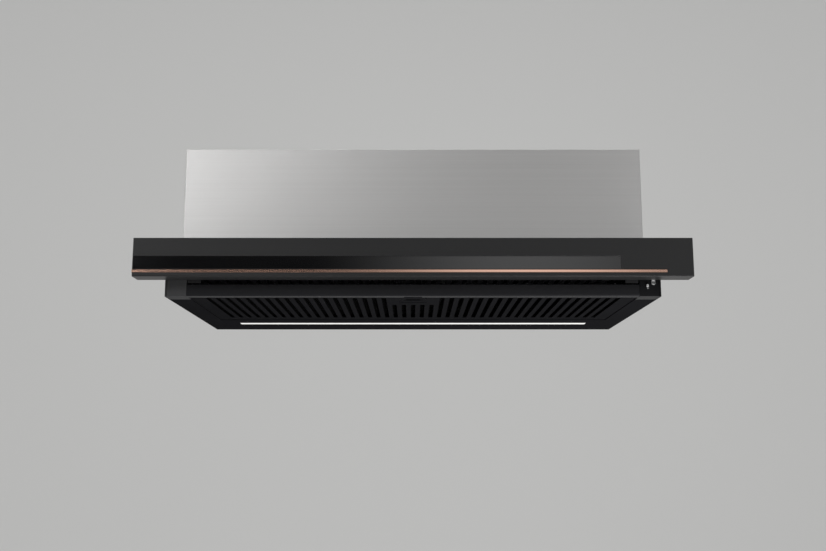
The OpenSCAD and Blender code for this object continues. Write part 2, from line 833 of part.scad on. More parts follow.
module scroll_half() {
    color([0.86, 0.86, 0.83]) difference() {
        union() {
            difference() {
                union() {
                    on_axis() along_x(0, scroll_x + scroll_wall) scroll_outside();
                    // parting flange with its screw bosses
                    on_axis() for (a = parting_a)
                        rod_x([0, parting_at(a)[0], parting_at(a)[1]], parting_boss_r, 9);
                }
                on_axis() along_x(-1, scroll_x) scroll_inside();
                on_axis() rod_x([scroll_x - 3, 0, 0], inlet_r + bell_wall / 2, scroll_wall + 6);
            }
            // inlet ring, rolled outwards
            on_axis() rotate([0, 90, 0]) rotate_extrude() polygon(concat(
                [[inlet_r, scroll_x - 2]],
                arc(inlet_r + bell_r, scroll_x + scroll_wall, bell_r, 180, 90, 4),
                arc(inlet_r + bell_r, scroll_x + scroll_wall, bell_r - bell_wall, 90, 180, 4),
                [[inlet_r + bell_wall, scroll_x - 2]]
            ));
            for (y = lug_y) {
                block([scroll_x, y - 7, z_ceiling - 3], [lug_x + 6, y + 7, z_ceiling]);
                along_y(y - 1, y + 1) polygon([
                    [scroll_x + 1, z_ceiling - 1], [scroll_x + 1, z_ceiling - 18],
                    [lug_x - 6, z_ceiling - 3], [lug_x - 6, z_ceiling - 1],
                ]);
            }
        }
        for (y = lug_y)
            rod_z([lug_x, y, z_ceiling - 4], screw_hole_r, 5);
        on_axis() for (a = parting_a)
            rod_x([-1, parting_at(a)[0], parting_at(a)[1]], screw_hole_r, 11);
    }
}

module scroll_right() {
    scroll_half();
}

module scroll_left() {
    left_side() scroll_half();
}

// Motor, carried in the left inlet by a bracket with three arms on rubber mounts
bracket_plane = scroll_x + scroll_wall + 5; // inner face of the motor bracket
arm_r = inlet_r + 10;
motor_bracket_t = 1.8;
hub_r = 8;
motor_in = bracket_plane - motor_l; // distance of the motor's inner end from the middle
bearing_r = 7;
bearing_w = 5;

module motor_bracket() {
    color(zinc) left_side() on_axis() difference() {
        along_x(bracket_plane, bracket_plane + motor_bracket_t) {
            circle(r = motor_r - 4);
            for (a = [90, 210, 330]) rotate(a) {
                translate([0, -5]) square([arm_r, 10]);
                translate([arm_r, 0]) circle(r = 5);
            }
        }
        for (a = [90, 210, 330])
            rod_x([bracket_plane - 1, arm_r * cos(a), arm_r * sin(a)], screw_hole_r, 4);
        rod_x([bracket_plane - 1, 0, 0], 5, 4);
    }
}

module motor_mounts() {
    color([0.12, 0.12, 0.12]) left_side() on_axis() for (a = [90, 210, 330]) difference() {
        rod_x([scroll_x + scroll_wall, arm_r * cos(a), arm_r * sin(a)], 4.5, 5);
        rod_x([scroll_x + scroll_wall - 1, arm_r * cos(a), arm_r * sin(a)], screw_hole_r, 7);
    }
}

end_shield = 11; // thickness of the motor's ends
rotor_gap = 2;
rotor_r = motor_r - 8;
rotor_l = motor_l - 2 * (end_shield + rotor_gap);

module motor_body() {
    color([0.3, 0.3, 0.32]) left_side() on_axis() difference() {
        union() {
            rotate([0, 90, 0]) rotate_extrude() polygon(concat(
                [[0, motor_in], [12, motor_in], [12, motor_in + 3]],
                arc(motor_r - 3, motor_in + 6, 3, 270, 360, 3),
                [[motor_r, bracket_plane - 6], [motor_r - 3, bracket_plane - 3], [12, bracket_plane - 3],
                 [12, bracket_plane], [0, bracket_plane]]
            ));
            for (a = [30:60:330]) rotate([a, 0, 0])
                block([motor_in + 10, motor_r - 1, -2], [bracket_plane - 10, motor_r + 1.2, 2]);
        }
        rod_x([motor_in + end_shield, 0, 0], rotor_r + 1, motor_l - 2 * end_shield);
        rod_x([motor_in - 1, 0, 0], bearing_r, bearing_w + 1);
        rod_x([bracket_plane - 3 - bearing_w, 0, 0], bearing_r, bearing_w + 4);
        rod_x([motor_in - 1, 0, 0], shaft_r + 1, motor_l + 2);
    }
}

module motor_bearings() {
    color([0.7, 0.65, 0.5]) left_side() on_axis()
        for (x = [motor_in, bracket_plane - 3 - bearing_w])
            rotate([0, 90, 0]) translate([0, 0, x]) rotate_extrude()
                translate([shaft_r + pin_gap, 0])
                    square([bearing_r - slip / 3 - shaft_r - pin_gap, bearing_w]);
}

module motor_shaft() {
    color([0.65, 0.65, 0.68]) on_axis() {
        rod_x([-(bracket_plane - 2), 0, 0], shaft_r, bracket_plane - 2 + hub_l);
        rod_x([-(motor_in + end_shield + rotor_gap + rotor_l), 0, 0], rotor_r, rotor_l);
    }
}

hub_l = 12;
blade_in = wheel_r - 8;
ring_w = 2.4;

// One blade as a curved strip between two arcs
module blade_section() {
    r = 8.2;
    t = 0.9;
    a0 = 8;
    a1 = 96;
    polygon(concat(
        arc(blade_in + 0.6, -1.2, r - 0.2, a0, a1, 4),
        arc(blade_in + 0.6, -1.2, r - t - 0.2, a1, a0, 4)
    ));
}

module fan_wheel() {
    color([0.16, 0.17, 0.2]) on_axis() {
        difference() {
            union() {
                along_x(-wheel_w / 2, wheel_w / 2) for (i = [0:blade_count - 1])
                    rotate(i * 360 / blade_count) blade_section();
                rotate([0, 90, 0]) rotate_extrude() {
                    for (x = [-wheel_w / 2, wheel_w / 2 - ring_w])
                        translate([wheel_r - 3.2, x]) square([3.2, ring_w]);
                    polygon([
                        [0, -1.5], [wheel_r - 2, -1], [wheel_r - 2, 1], [hub_r + 3, 1.2],
                        [hub_r, 4], [hub_r, hub_l], [0, hub_l],
                    ]);
                }
            }
            rod_x([-3, 0, 0], shaft_r + pin_gap, hub_l + 4);
        }
    }
}

// Outlet collar with its two damper flaps
flap_z = z_top + 6;
flap_dy = 3.6;
flap_r = collar_r - collar_wall - 1;
flap_t = 1.2;
flap_hub_r = 2.4;
flap_pin_r = 1.5;
ledge_z = flap_z - flap_t / 2 - seat;

module outlet_collar() {
    rin = collar_r - collar_wall;
    top = z_top + collar_h;
    color([0.15, 0.15, 0.16]) difference() {
        translate([0, -outlet_y, 0]) {
            rotate_extrude($fn = 96) polygon([
                [rin, z_top], [collar_r + flange_w, z_top], [collar_r + flange_w, z_top + flange_t],
                [collar_r + 1.6, z_top + flange_t], [collar_r, z_top + flange_t + 1.6],
                [collar_r, top - 2], [collar_r - 0.8, top], [rin, top],
                [rin, ledge_z], [rin - 1.6, ledge_z], [rin - 1.6, ledge_z - 1.2], [rin, ledge_z - 2.8],
            ]);
            block([-rin - 0.3, -0.9, flap_z - 4], [rin + 0.3, 0.9, flap_z + 2]);
        }
        for (s = [-1, 1])
            rod_x([-collar_r + 0.6, -outlet_y + s * flap_dy, flap_z],
                flap_pin_r + pin_gap, 2 * (collar_r - 0.6));
        for (p = collar_screw_at)
            rod_z([p[0], p[1], z_top - 1], screw_hole_r, 4);
    }
}

module damper_flap(s) {
    pin_x = collar_r - 0.9;
    hub_x = sqrt(flap_r * flap_r - flap_dy * flap_dy) - 3;
    color([0.22, 0.22, 0.24]) translate([0, -outlet_y, 0]) {
        difference() {
            union() {
                rod_z([0, 0, flap_z - flap_t / 2], flap_r, flap_t);
                for (x = [-25, 25])
                    block([x - 0.6, s * flap_dy, flap_z], [x + 0.6, s * (flap_r - 12), flap_z + 2.2]);
            }
            // cut off the other half, the corners beside the hub, and the bed of the hub
            block([-collar_r, s * flap_dy, flap_z - 5], [collar_r, -s * collar_r, flap_z + 5]);
            for (x = [-1, 1])
                block([x * hub_x, s * flap_dy, flap_z - 5],
                    [x * collar_r, s * (flap_dy + flap_hub_r + 1.5), flap_z + 5]);
        }
        rod_x([-hub_x, s * flap_dy, flap_z], flap_hub_r, 2 * hub_x);
        rod_x([-pin_x, s * flap_dy, flap_z], flap_pin_r, 2 * pin_x);
    }
}

module damper_flap_front() {
    damper_flap(-1);
}

module damper_flap_rear() {
    damper_flap(1);
}

// Electrical parts, hung from the body's ceiling
box_x = -body_x + 28 + box_w / 2;
box_y = y_panel_back + 26 + box_d / 2;
box_low = z_ceiling - box_h;
box_wall = 1.8;

module control_box() {
    x = box_w / 2;
    y = box_d / 2;
    color([0.2, 0.2, 0.21]) translate([box_x, box_y, 0]) difference() {
        union() {
            up_z(box_low, z_ceiling) polygon(round_rect(-x, -y, x, y, 3));
            for (s = [-1, 1])
                block([s * (x - 6), -6, z_ceiling - 2.4], [s * (x + 10), 6, z_ceiling]);
        }
        up_z(box_low - 1, z_ceiling - box_wall)
            polygon(round_rect(-x + box_wall, -y + box_wall, x - box_wall, y - box_wall, 1.5));
    }
}

module control_lid() {
    x = box_w / 2;
    y = box_d / 2;
    g = box_wall + slip;
    rim = g + 1.4;
    color([0.24, 0.24, 0.25]) translate([box_x, box_y, 0]) difference() {
        union() {
            up_z(box_low - 2, box_low) polygon(round_rect(-x, -y, x, y, 3));
            up_z(box_low - 0.1, box_low + 3) polygon(round_rect(-x + g, -y + g, x - g, y - g, 1.2));
        }
        up_z(box_low, box_low + 4) polygon(round_rect(-x + rim, -y + rim, x - rim, y - rim, 1));
        for (i = [-3:3])
            block([i * 8 - 1.2, -y + 8, box_low - 3], [i * 8 + 1.2, -y + 24, box_low + 1]);
    }
}

board_drop = 10; // of the control board below the ceiling

module control_board() {
    x = box_w / 2 - box_wall - 1.2;
    y = box_d / 2 - box_wall - 1.2;
    z = z_ceiling - board_drop;
    color([0.1, 0.35, 0.2]) translate([box_x, box_y, 0]) {
        block([-x, -y, z - board_t], [x, y, z]);
        for (p = [[-x + 6, -y + 6], [x - 6, -y + 6], [-x + 6, y - 6], [x - 6, y - 6]])
            rod_z([p[0], p[1], z - 0.1], 3, z_ceiling - box_wall - z + 0.1);
        block([-x + 12, -y + 10, z - 18], [-x + 36, y - 14, z - board_t + 0.1]);
        for (i = [0:2])
            block([-x + 44 + i * 14, y - 22, z - 14], [-x + 55 + i * 14, y - 6, z - board_t + 0.1]);
        rod_z([x - 14, -y + 14, z - 16], 6, 15);
        block([-x + 44, -y + 3, z - 10], [x - 26, -y + 12, z - board_t + 0.1]);
    }
}

capacitor_r = 14;
capacitor_l = 52;
capacitor_z = z_ceiling - capacitor_r - 1.2;

module run_capacitor() {
    y = box_y + box_d / 2 + 26;
    color([0.88, 0.88, 0.9]) translate([box_x - capacitor_l / 2, y, 0]) {
        rod_x([0, 0, capacitor_z], capacitor_r, capacitor_l);
        rod_x([capacitor_l - 0.1, 0, capacitor_z], 6, 5);
        // clip on the ceiling
        difference() {
            union() {
                rod_x([18, 0, capacitor_z], capacitor_r + 1.2, 14);
                block([18, -capacitor_r - 9, z_ceiling - 1.6], [32, capacitor_r + 9, z_ceiling]);
            }
            rod_x([10, 0, capacitor_z], capacitor_r - 0.05, 30);
        }
    }
}

driver_l = 84;
driver_w = 34;
driver_h = 20;
driver_y = -30;

module led_driver() {
    x = driver_l / 2;
    y = driver_w / 2;
    color([0.93, 0.93, 0.9]) translate([box_x, driver_y, 0]) {
        up_z(z_ceiling - driver_h, z_ceiling) polygon(round_rect(-x, -y, x, y, 4));
        for (s = [-1, 1])
            block([s * (x - 2), -5, z_ceiling - 2.4], [s * (x + 8), 5, z_ceiling]);
    }
}

// Gland that the supply lead enters by
cord_r = 4;

module cable_gland() {
    color([0.1, 0.1, 0.1]) difference() {
        translate([gland_x, gland_y, 0]) {
            rod_z([0, 0, z_ceiling - 8], gland_r, sheet + 8 + 1);
            translate([0, 0, z_ceiling - 5]) cylinder(h = 5, r = 12, $fn = 6);
            translate([0, 0, z_top]) cylinder(h = 5, r = 12, $fn = 6);
            translate([0, 0, z_top + 4.9]) rotate_extrude() polygon(concat(
                [[0, 0], [10, 0], [10, 5]],
                arc(6, 5, 4, 0, 70, 4),
                [[5.5, 11], [0, 11]]
            ));
        }
        rod_z([gland_x, gland_y, z_ceiling - 10], cord_r, 32);
    }
}

// Closed position sensor: a reed switch on the body and a magnet on the carriage
magnet_x = deck_x - 16;
magnet_y = -max(bracket_y, rear_d + 8); // between the screws of the left bracket
magnet_h = panel_low - deck_top - 0.5; // passes below the front panel

module reed_switch() {
    z = deck_top + magnet_h + seat + 1.4;
    color([0.92, 0.92, 0.9]) left_side() {
        block([magnet_x - 6, magnet_y - 9, z], [magnet_x + 6, magnet_y + 9, z + 7]);
        block([magnet_x + 5.9, magnet_y - 7, z + 5.4], [rail_x - 1.2, magnet_y + 7, z + 7]);
        block([rail_x - 1.3, magnet_y - 7, z - 4], [rail_x, magnet_y + 7, z + 20]);
    }
}

module magnet() {
    color([0.5, 0.5, 0.52]) left_side()
        up_z(deck_top, deck_top + magnet_h)
            polygon(round_rect(magnet_x - 5, magnet_y - 4, magnet_x + 5, magnet_y + 4, 1));
}

// Wiring: smooth tubes through hand-chosen points
loom_r = 2.5;
loom_z = z_ceiling - loom_r - 0.8;
loom_exit_z = z_ceiling - 12;
lead_sides = 8;

function between(a, b, c, d, t) = 0.5 * (
    2 * b + (c - a) * t + (2 * a - 5 * b + 4 * c - d) * t * t + (3 * b - a - 3 * c + d) * t * t * t
);

function smooth_route(p, n) = [
    for (i = [0:len(p) - 2], j = [0:n - 1])
        between(i > 0 ? p[i - 1] : 2 * p[0] - p[1], p[i], p[i + 1],
            i < len(p) - 2 ? p[i + 2] : 2 * p[i + 1] - p[i], j / n),
    p[len(p) - 1],
];

function unit(v) = v / norm(v);

function ring_at(c, dir, r) = let (
    u = unit(cross(dir, [0.36, 0.48, 0.8])),
    v = cross(unit(dir), u)
) [for (k = [0:lead_sides - 1]) let (a = 360 * k / lead_sides) c + r * (cos(a) * u + sin(a) * v)];

module lead(points, r, n = 2) {
    q = smooth_route(points, n);
    m = len(q);
    last = len(points) - 1;
    k = lead_sides;
    rings = [
        for (i = [0:m - 1])
            each ring_at(q[i], i == 0 ? points[1] - points[0]
                : i == m - 1 ? points[last] - points[last - 1] : q[i + 1] - q[i - 1], r),
    ];
    sides = [
        for (i = [0:m - 2], j = [0:k - 1])
            each [
                [i * k + j, i * k + (j + 1) % k, (i + 1) * k + j],
                [i * k + (j + 1) % k, (i + 1) * k + (j + 1) % k, (i + 1) * k + j],
            ],
    ];
    polyhedron(rings, concat(
        [[for (j = [0:k - 1]) k - 1 - j]],
        [[for (j = [0:k - 1]) (m - 1) * k + j]],
        sides
    ));
}

module wiring_loom() {
    box_end = box_x + box_w / 2;
    z = loom_exit_z;
    plate = bracket_plane + motor_bracket_t;
    board_back = board_y + board_t;
    light_x = -led_w / 2 + 12;
    light_z = z_floor + channel_h;
    color([0.2, 0.2, 0.22]) {
        // supply, from the gland to the control box
        lead([
            [box_end, box_y, z], [box_end + 12, box_y, z], [box_end + 26, box_y + 24, loom_z],
            [box_end + 28, -90, loom_z], [box_end + 36, -26, loom_z], [-50, -18, loom_z],
            [60, -18, loom_z], [gland_x - 46, -20, loom_z - 3], [gland_x - 14, gland_y + 10, z - 12],
            [gland_x, gland_y, z - 10], [gland_x, gland_y, z_ceiling - 8],
        ], loom_r);
        // motor
        lead([
            [box_end, box_y + 18, z], [box_end + 10, box_y + 18, z],
            [box_end + 30, box_y + 26, z - 20], [-plate - 18, axis_y - 20, axis_z + 6],
            [-plate - 8, axis_y - 13, axis_z], [-plate, axis_y - 13, axis_z],
        ], lead_r + 0.5);
        // light
        lead([
            [box_x - 20, driver_y, z_ceiling - driver_h], [box_x - 20, driver_y, z_ceiling - driver_h - 12],
            [box_x - 24, -20, z_ceiling - 70], [light_x, -22, z_bar + 30],
            [light_x, -led_y, light_z + 16], [light_x, -led_y, light_z],
        ], lead_r, 3);
        // buttons
        lead([
            [lead_x, board_back, lead_z], [lead_x, board_back + 8, lead_z],
            [lead_x, -rear_d - 20, lead_z], [lead_x, -rear_d + 10, lead_z],
            [lead_x - 10, -rear_d + 45, z_bar - 2], [lead_x - 14, -22, z_bar + 16],
            [lead_x - 14, -10, z_bar + 60], [lead_x - 18, -10, z_ceiling - 30],
            [lead_x - 36, -9, loom_z - 4], [60, -9, loom_z], [box_end + 26, -9, loom_z],
            [box_end + 12, -40, loom_z], [box_end + 12, box_y + 60, loom_z],
            [box_end + 14, box_y + 18, z + 4], [box_end + 8, box_y + 9, z], [box_end, box_y + 9, z],
        ], lead_r);
    }
}

// Screw groups
module frame_screws() {
    color(steel) {
        both_sides() {
            for (y = frame_screw_y)
                translate([frame_screw_x, y, z_bar + sheet]) screw(9);
            for (x = [bar_screw_x, bar_screw_x / 3])
                translate([x, y_bar_back + slip + 7, z_bar + tab_t]) screw(tab_t + shelf_h);
        }
    }
}

module bracket_screws() {
    color(steel) both_sides() for (s = [-1, 1])
        translate([body_x + bracket_t, -bracket_y + s * bracket_screw_dy, bracket_screw_z])
            rotate([0, 90, 0]) screw(bracket_t + sheet + 4);
}

module collar_screws() {
    color(steel) for (p = collar_screw_at)
        translate([p[0], p[1], z_top + flange_t]) screw(flange_t + sheet + 1);
}

module scroll_screws() {
    color(steel) {
        for (p = scroll_lug_at)
            translate([p[0], p[1], z_top]) screw(sheet + 3 + 2);
        on_axis() for (a = parting_a)
            translate([9, parting_at(a)[0], parting_at(a)[1]]) rotate([0, 90, 0]) screw(16);
        on_axis() for (a = [90, 210, 330])
            translate([-bracket_plane - motor_bracket_t, arm_r * cos(a), arm_r * sin(a)])
                rotate([0, -90, 0]) screw(motor_bracket_t + 5);
    }
}

// Fascia: a hollow profile that is open at the back, with a glass inlay and a copper line
lip_h = 14;
glass_top = -glass_drop;
glass_low = glass_top - glass_h;
copper_low = -fascia_h + copper_up - copper_h / 2;
copper_top = copper_low + copper_h;
y_front = y_fascia - fascia_t;
beam_t = 1.5;
roof_z = deck_top - deck_t;
beam_screw_z = [roof_z - beam_t - screw_head_r - 0.2, deck_bottom + beam_t + screw_head_r + 0.2];
beam_screw_x = [fascia_x * 0.2, fascia_x * 0.7];
front_wall = fascia_wall + 0.6;

module fascia() {
    r = 0.8;
    w = fascia_wall;
    color(satin_black) difference() {
        along_x(-fascia_x, fascia_x) polygon(concat(
            arc(y_front + r, -r, r, 90, 180, 3),
            arc(y_front + r, -fascia_h + r, r, 180, 270, 3),
            [
                [y_fascia, -fascia_h], [y_fascia, -fascia_h + lip_h], [y_fascia - w, -fascia_h + lip_h],
                [y_fascia - w, -fascia_h + w], [y_front + front_wall, -fascia_h + w],
                [y_front + front_wall, -w], [y_fascia - w, -w], [y_fascia - w, -lip_h],
                [y_fascia, -lip_h], [y_fascia, 0],
            ]
        ));
        // beds of the glass inlay and of the copper line
        block([-fascia_x - 1, y_front - 1, glass_low - 0.1],
            [fascia_x - glass_end + 0.1, y_front + glass_t, glass_top + 0.1]);
        block([-fascia_x - 1, y_front - 1, copper_low],
            [fascia_x - copper_end, y_front + copper_t - 0.3, copper_top]);
        both_sides() for (x = beam_screw_x, z = beam_screw_z)
            rod_y([x, y_fascia - w - 1, z], screw_hole_r, w + 2);
    }
}

module glass_inlay() {
    color([0.03, 0.03, 0.035]) along_x(-fascia_x, fascia_x - glass_end) polygon(concat(
        arc(y_front + 0.3, glass_top - 0.3, 0.3, 90, 180, 2),
        arc(y_front + 0.3, glass_low + 0.3, 0.3, 180, 270, 2),
        [[y_front + glass_t, glass_low], [y_front + glass_t, glass_top]]
    ));
}

module copper_trim() {
    y0 = y_front - 0.3;
    y1 = y_front + copper_t - 0.3;
    color([0.78, 0.47, 0.36]) {
        along_x(-fascia_x - 0.4, fascia_x - copper_end) polygon(concat(
            arc(y0 + 0.4, copper_top - 0.4, 0.4, 90, 180, 2),
            arc(y0 + 0.4, copper_low + 0.4, 0.4, 180, 270, 2),
            [[y1, copper_low], [y1, copper_top]]
        ));
        block([-fascia_x - 0.4, y1 - 0.1, copper_low], [-fascia_x, y_front + 8, copper_top]);
    }
}

module fascia_plug() {
    w = fascia_wall;
    y0 = y_front + front_wall + slip / 2;
    y1 = y_fascia - w - slip / 2;
    z0 = -fascia_h + w + slip / 2;
    z1 = -w - slip / 2;
    color(satin_black) {
        block([fascia_x - 2, y0, z0], [fascia_x, y1, z1]);
        difference() {
            block([fascia_x - 9, y0, z0], [fascia_x - 1.9, y1, z1]);
            block([fascia_x - 10, y0 + 1.4, z0 + 1.4], [fascia_x - 1.8, y1 - 1.4, z1 - 1.4]);
        }
    }
}

module fascia_plug_right() {
    fascia_plug();
}

module fascia_plug_left() {
    left_side() fascia_plug();
}

// Carriage
beam_x = deck_x - deck_t - 6.6;
beam_d = 8;
tray_z = deck_bottom + deck_t;
lip_in = 6;
rail_screw_y = [y_fascia + 30, -rear_d - 60];
tab_w = 14;
tab_low = z_bar + 1.1;

module front_beam() {
    t = beam_t;
    y1 = y_fascia + beam_d;
    color(zinc) difference() {
        union() {
            along_x(-beam_x, beam_x) polygon([
                [y_fascia, deck_bottom], [y1, deck_bottom], [y1, deck_bottom + t],
                [y_fascia + t, deck_bottom + t], [y_fascia + t, roof_z - t], [y1, roof_z - t],
                [y1, roof_z], [y_fascia, roof_z],
            ]);
            // tabs that hang below the beam and hold the fascia's bottom edge
            both_sides() up_z(tab_low, deck_bottom + 0.1) polygon([
                [window_x - 1 - tab_w, y_fascia + 2.2], [window_x - 1, y_fascia + 2.2],
                [window_x - 1, y_fascia + 4], [window_x - 1 - tab_w, y_fascia + 4],
            ]);
        }
        both_sides() for (x = beam_screw_x, z = beam_screw_z)
            rod_y([x, y_fascia - 1, z], screw_hole_r, t + 2);
    }
}

module carriage_roof() {
    x = deck_x;
    t = deck_t;
    r = 2;
    color([0.24, 0.24, 0.25]) difference() {
        along_y(y_fascia, -rear_d) polygon(concat(
            arc(x - r, deck_top - r, r, 0, 90, 3),
            arc(-x + r, deck_top - r, r, 90, 180, 3),
            [
                [-x, deck_bottom], [-x + lip_in, deck_bottom], [-x + lip_in, deck_bottom + t],
                [-x + t, deck_bottom + t],
            ],
            arc(-x + r, deck_top - r, r - t, 180, 90, 2),
            arc(x - r, deck_top - r, r - t, 90, 0, 2),
            [
                [x - t, deck_bottom + t], [x - lip_in, deck_bottom + t], [x - lip_in, deck_bottom],
                [x, deck_bottom],
            ]
        ));
        both_sides() for (y = rail_screw_y)
            rod_x([x - t - 1, y, rail_z], screw_hole_r, t + 2);
        // the rear corners are cut back
        both_sides() block([x - 5, -rear_d - 12, deck_bottom - 1], [x + 1, -rear_d + 1, rail_z - inner_h]);
    }
}

tray_slots = 41;
tray_front = y_fascia + beam_d + 2;
tray_rear = -rear_d - 14;
tray_x = deck_x - deck_t - slip;

module carriage_filter() {
    rim = 8;
    y0 = tray_front;
    y1 = tray_rear;
    color([0.62, 0.62, 0.64]) {
        up_z(tray_z, tray_z + tray_t) difference() {
            translate([-tray_x, y0]) square([2 * tray_x, y1 - y0]);
            translate([-tray_x + rim, y0 + rim]) square([2 * (tray_x - rim), y1 - y0 - 2 * rim]);
        }
        up_z(tray_z + tray_t / 2 - 0.5, tray_z + tray_t / 2 + 0.5) difference() {
            translate([-tray_x + rim / 2, y0 + rim / 2]) square([2 * tray_x - rim, y1 - y0 - rim]);
            for (i = [0:tray_slots - 1], j = [0, 1])
                translate([
                    (i - (tray_slots - 1) / 2) * (2 * tray_x - 2 * rim) / tray_slots - slot_w / 2,
                    y0 + rim + 4 + j * (y1 - y0 - 2 * rim) / 2,
                ]) square([slot_w, (y1 - y0 - 2 * rim) / 2 - 8]);
        }
    }
}

module carriage_screws() {
    color(steel) both_sides() {
        for (x = beam_screw_x, z = beam_screw_z)
            translate([x, y_fascia + beam_t, z]) rotate([-90, 0, 0]) screw(beam_t + fascia_wall + 2);
        for (y = rail_screw_y)
            translate([deck_x - deck_t, y, rail_z]) rotate([0, -90, 0]) screw(deck_t + rail_wall + 0.2);
    }
}

// Grease filter: slotted face, rim, mesh and latch
filter_gap = 0.5; // round the filter in its opening
filter_x = window_x - filter_gap;
filter_y0 = y_bar_back + 0.8;
filter_y1 = -rear_d - rear_gap;
rim_t = 1.2;
latch_y0 = filter_y0 + 10;
latch_open = latch_l + latch_travel + 2 * run_gap;

function slot_x(i) = (i - (slot_count - 1) / 2) * slot_pitch;
function is_short(i) = abs(i - (slot_count - 1) / 2) <= (short_count - 1) / 2;

module slot_cuts() {
    for (i = [0:slot_count - 1]) {
        y0 = y_frame + (is_short(i) ? short_front : slot_front);
        y1 = filter_y1 - slot_end;
        translate([slot_x(i) - slot_w / 2, y0]) square([slot_w, y1 - y0]);
    }
}

module filter_face() {
    color(frame_black) difference() {
        up_z(filter_z0, filter_z0 + face_t) difference() {
            translate([-filter_x, filter_y0]) square([2 * filter_x, filter_y1 - filter_y0]);
            slot_cuts();
            translate([-latch_w / 2 - run_gap, latch_y0 - run_gap])
                square([latch_w + 2 * run_gap, latch_open]);
        }
        // stamped step along the rear edge
        block([-filter_x + 20, filter_y1 - 9, filter_z0 - 1],
            [filter_x - 20, filter_y1 - 8.2, filter_z0 + 0.4]);
    }
}

module filter_rim() {
    z0 = filter_z0 + face_t;
    t = rim_t;
    foot = 7;
    color([0.5, 0.5, 0.52]) difference() {
        union() {
            difference() {
                block([-filter_x, filter_y0, z0], [filter_x, filter_y1, filter_z1]);
                block([-filter_x + t, filter_y0 + t, z0 + t], [filter_x - t, filter_y1 - t, filter_z1 - t]);
                block([-filter_x + foot, filter_y0 + foot, z0 - 1],
                    [filter_x - foot, filter_y1 - foot, filter_z1 + 1]);
            }
            both_sides() rod_x([filter_x - 12, pivot_y, pivot_z], trunnion_r, 12 + filter_gap + trunnion_l);
            // guides of the latch
            for (s = [-1, 1])
                block([s * (guide_x + run_gap), filter_y0 + foot - 1, z0],
                    [s * (guide_x + run_gap + 1.6), latch_y0 + latch_open, filter_z1]);
        }
        block([-tongue_x - run_gap, filter_y0 - 1, tongue_z - run_gap],
            [tongue_x + run_gap, filter_y0 + foot + 1, tongue_z + tongue_t + run_gap]);
        block([-guide_x - run_gap, filter_y0 + foot - 2, z0 - 1],
            [guide_x + run_gap, latch_y0, filter_z1 - t]);
    }
}

guide_x = 9;
tongue_x = 6;

mesh_t = 0.5;

module filter_mesh() {
    z0 = filter_z0 + face_t + rim_t + 0.1;
    z1 = filter_z1 - rim_t - 0.1 - mesh_t;
    x = filter_x - rim_t - 0.2;
    y0 = filter_y0 + rim_t + 0.2;
    y1 = pivot_y - trunnion_r - 0.3;
    waves = floor(x / slot_pitch * 2);
    w = x / waves;
    // pleated sheet of expanded metal
    fold = [for (i = [0:2 * waves]) [-x + i * w, i % 2 == 0 ? z0 : z1]];
    color([0.7, 0.7, 0.71]) difference() {
        along_y(y0, y1) polygon(concat(
            fold,
            [for (i = [2 * waves:-1:0]) fold[i] + [0, mesh_t]]
        ));
        // room for the latch and its guides
        block([-latch_w / 2 - 4, y0 - 1, z0 - 1], [latch_w / 2 + 4, latch_y0 + latch_open + 4, z1 + 2]);
    }
}

module filter_latch() {
    x = latch_w / 2;
    y0 = latch_y0;
    y1 = latch_y0 + latch_l;
    plate_top = filter_z0 + face_t;
    color([0.07, 0.07, 0.075]) difference() {
        union() {
            up_z(filter_z0, plate_top) polygon(round_rect(-x, y0, x, y1, 1, 3));
            block([-guide_x, y0 + 3, plate_top - 0.1], [guide_x, y1 - 2, filter_z1 - rim_t - run_gap]);
            block([-tongue_x, y_bar_back - latch_travel + 0.6, tongue_z],
                [tongue_x, y0 + 4, tongue_z + tongue_t]);
        }
        // finger pull
        block([-x + 4, y0 + 7, filter_z0 - 1], [x - 4, y0 + 19, plate_top - 0.4]);
        block([-guide_x + 1.4, y0 + 7, filter_z0 - 1], [guide_x - 1.4, y0 + 19, plate_top + 2.6]);
    }
}

housing();
body_side_left();
body_side_right();
front_panel();
base_frame();
front_bar();
catch_clip();
end_cap_left();
end_cap_right();
led_channel();
led_board();
led_diffuser();
rail_fixed_left();
rail_fixed_right();
side_bracket_left();
side_bracket_right();
outlet_collar();
scroll_left();
scroll_right();
motor_bracket();
motor_mounts();
motor_body();
motor_bearings();
control_box();
control_lid();
control_board();
run_capacitor();
led_driver();
cable_gland();
reed_switch();
switch_board();
wiring_loom();
frame_screws();
bracket_screws();
collar_screws();
scroll_screws();
fascia();
glass_inlay();
copper_trim();
fascia_plug_left();
fascia_plug_right();
front_beam();
carriage_roof();
carriage_filter();
rail_inner_left();
rail_inner_right();
carriage_screws();
magnet();
ball_cage_left();
ball_cage_right();
fan_wheel();
motor_shaft();
damper_flap_front();
damper_flap_rear();
filter_face();
filter_rim();
filter_mesh();
filter_latch();
fan_button();
light_button();
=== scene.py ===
"""Looks of a pull out range hood: finishes for its solid model and a plain studio round it."""

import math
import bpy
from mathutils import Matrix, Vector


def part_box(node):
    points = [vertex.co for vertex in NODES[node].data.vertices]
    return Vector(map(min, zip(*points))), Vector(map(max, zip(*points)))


bl_info = {
    "name": "Pull Out Range Hood",
    "version": (1, 0, 0),
    "blender": (4, 5, 0),
    "location": "3D View > Sidebar > Range Hood",
    "description": "Dresses a pull out range hood and lights it in a plain studio",
    "category": "Object",
}

import bmesh
import bpy
from bpy.props import FloatProperty, FloatVectorProperty, PointerProperty
from mathutils import Matrix, Vector

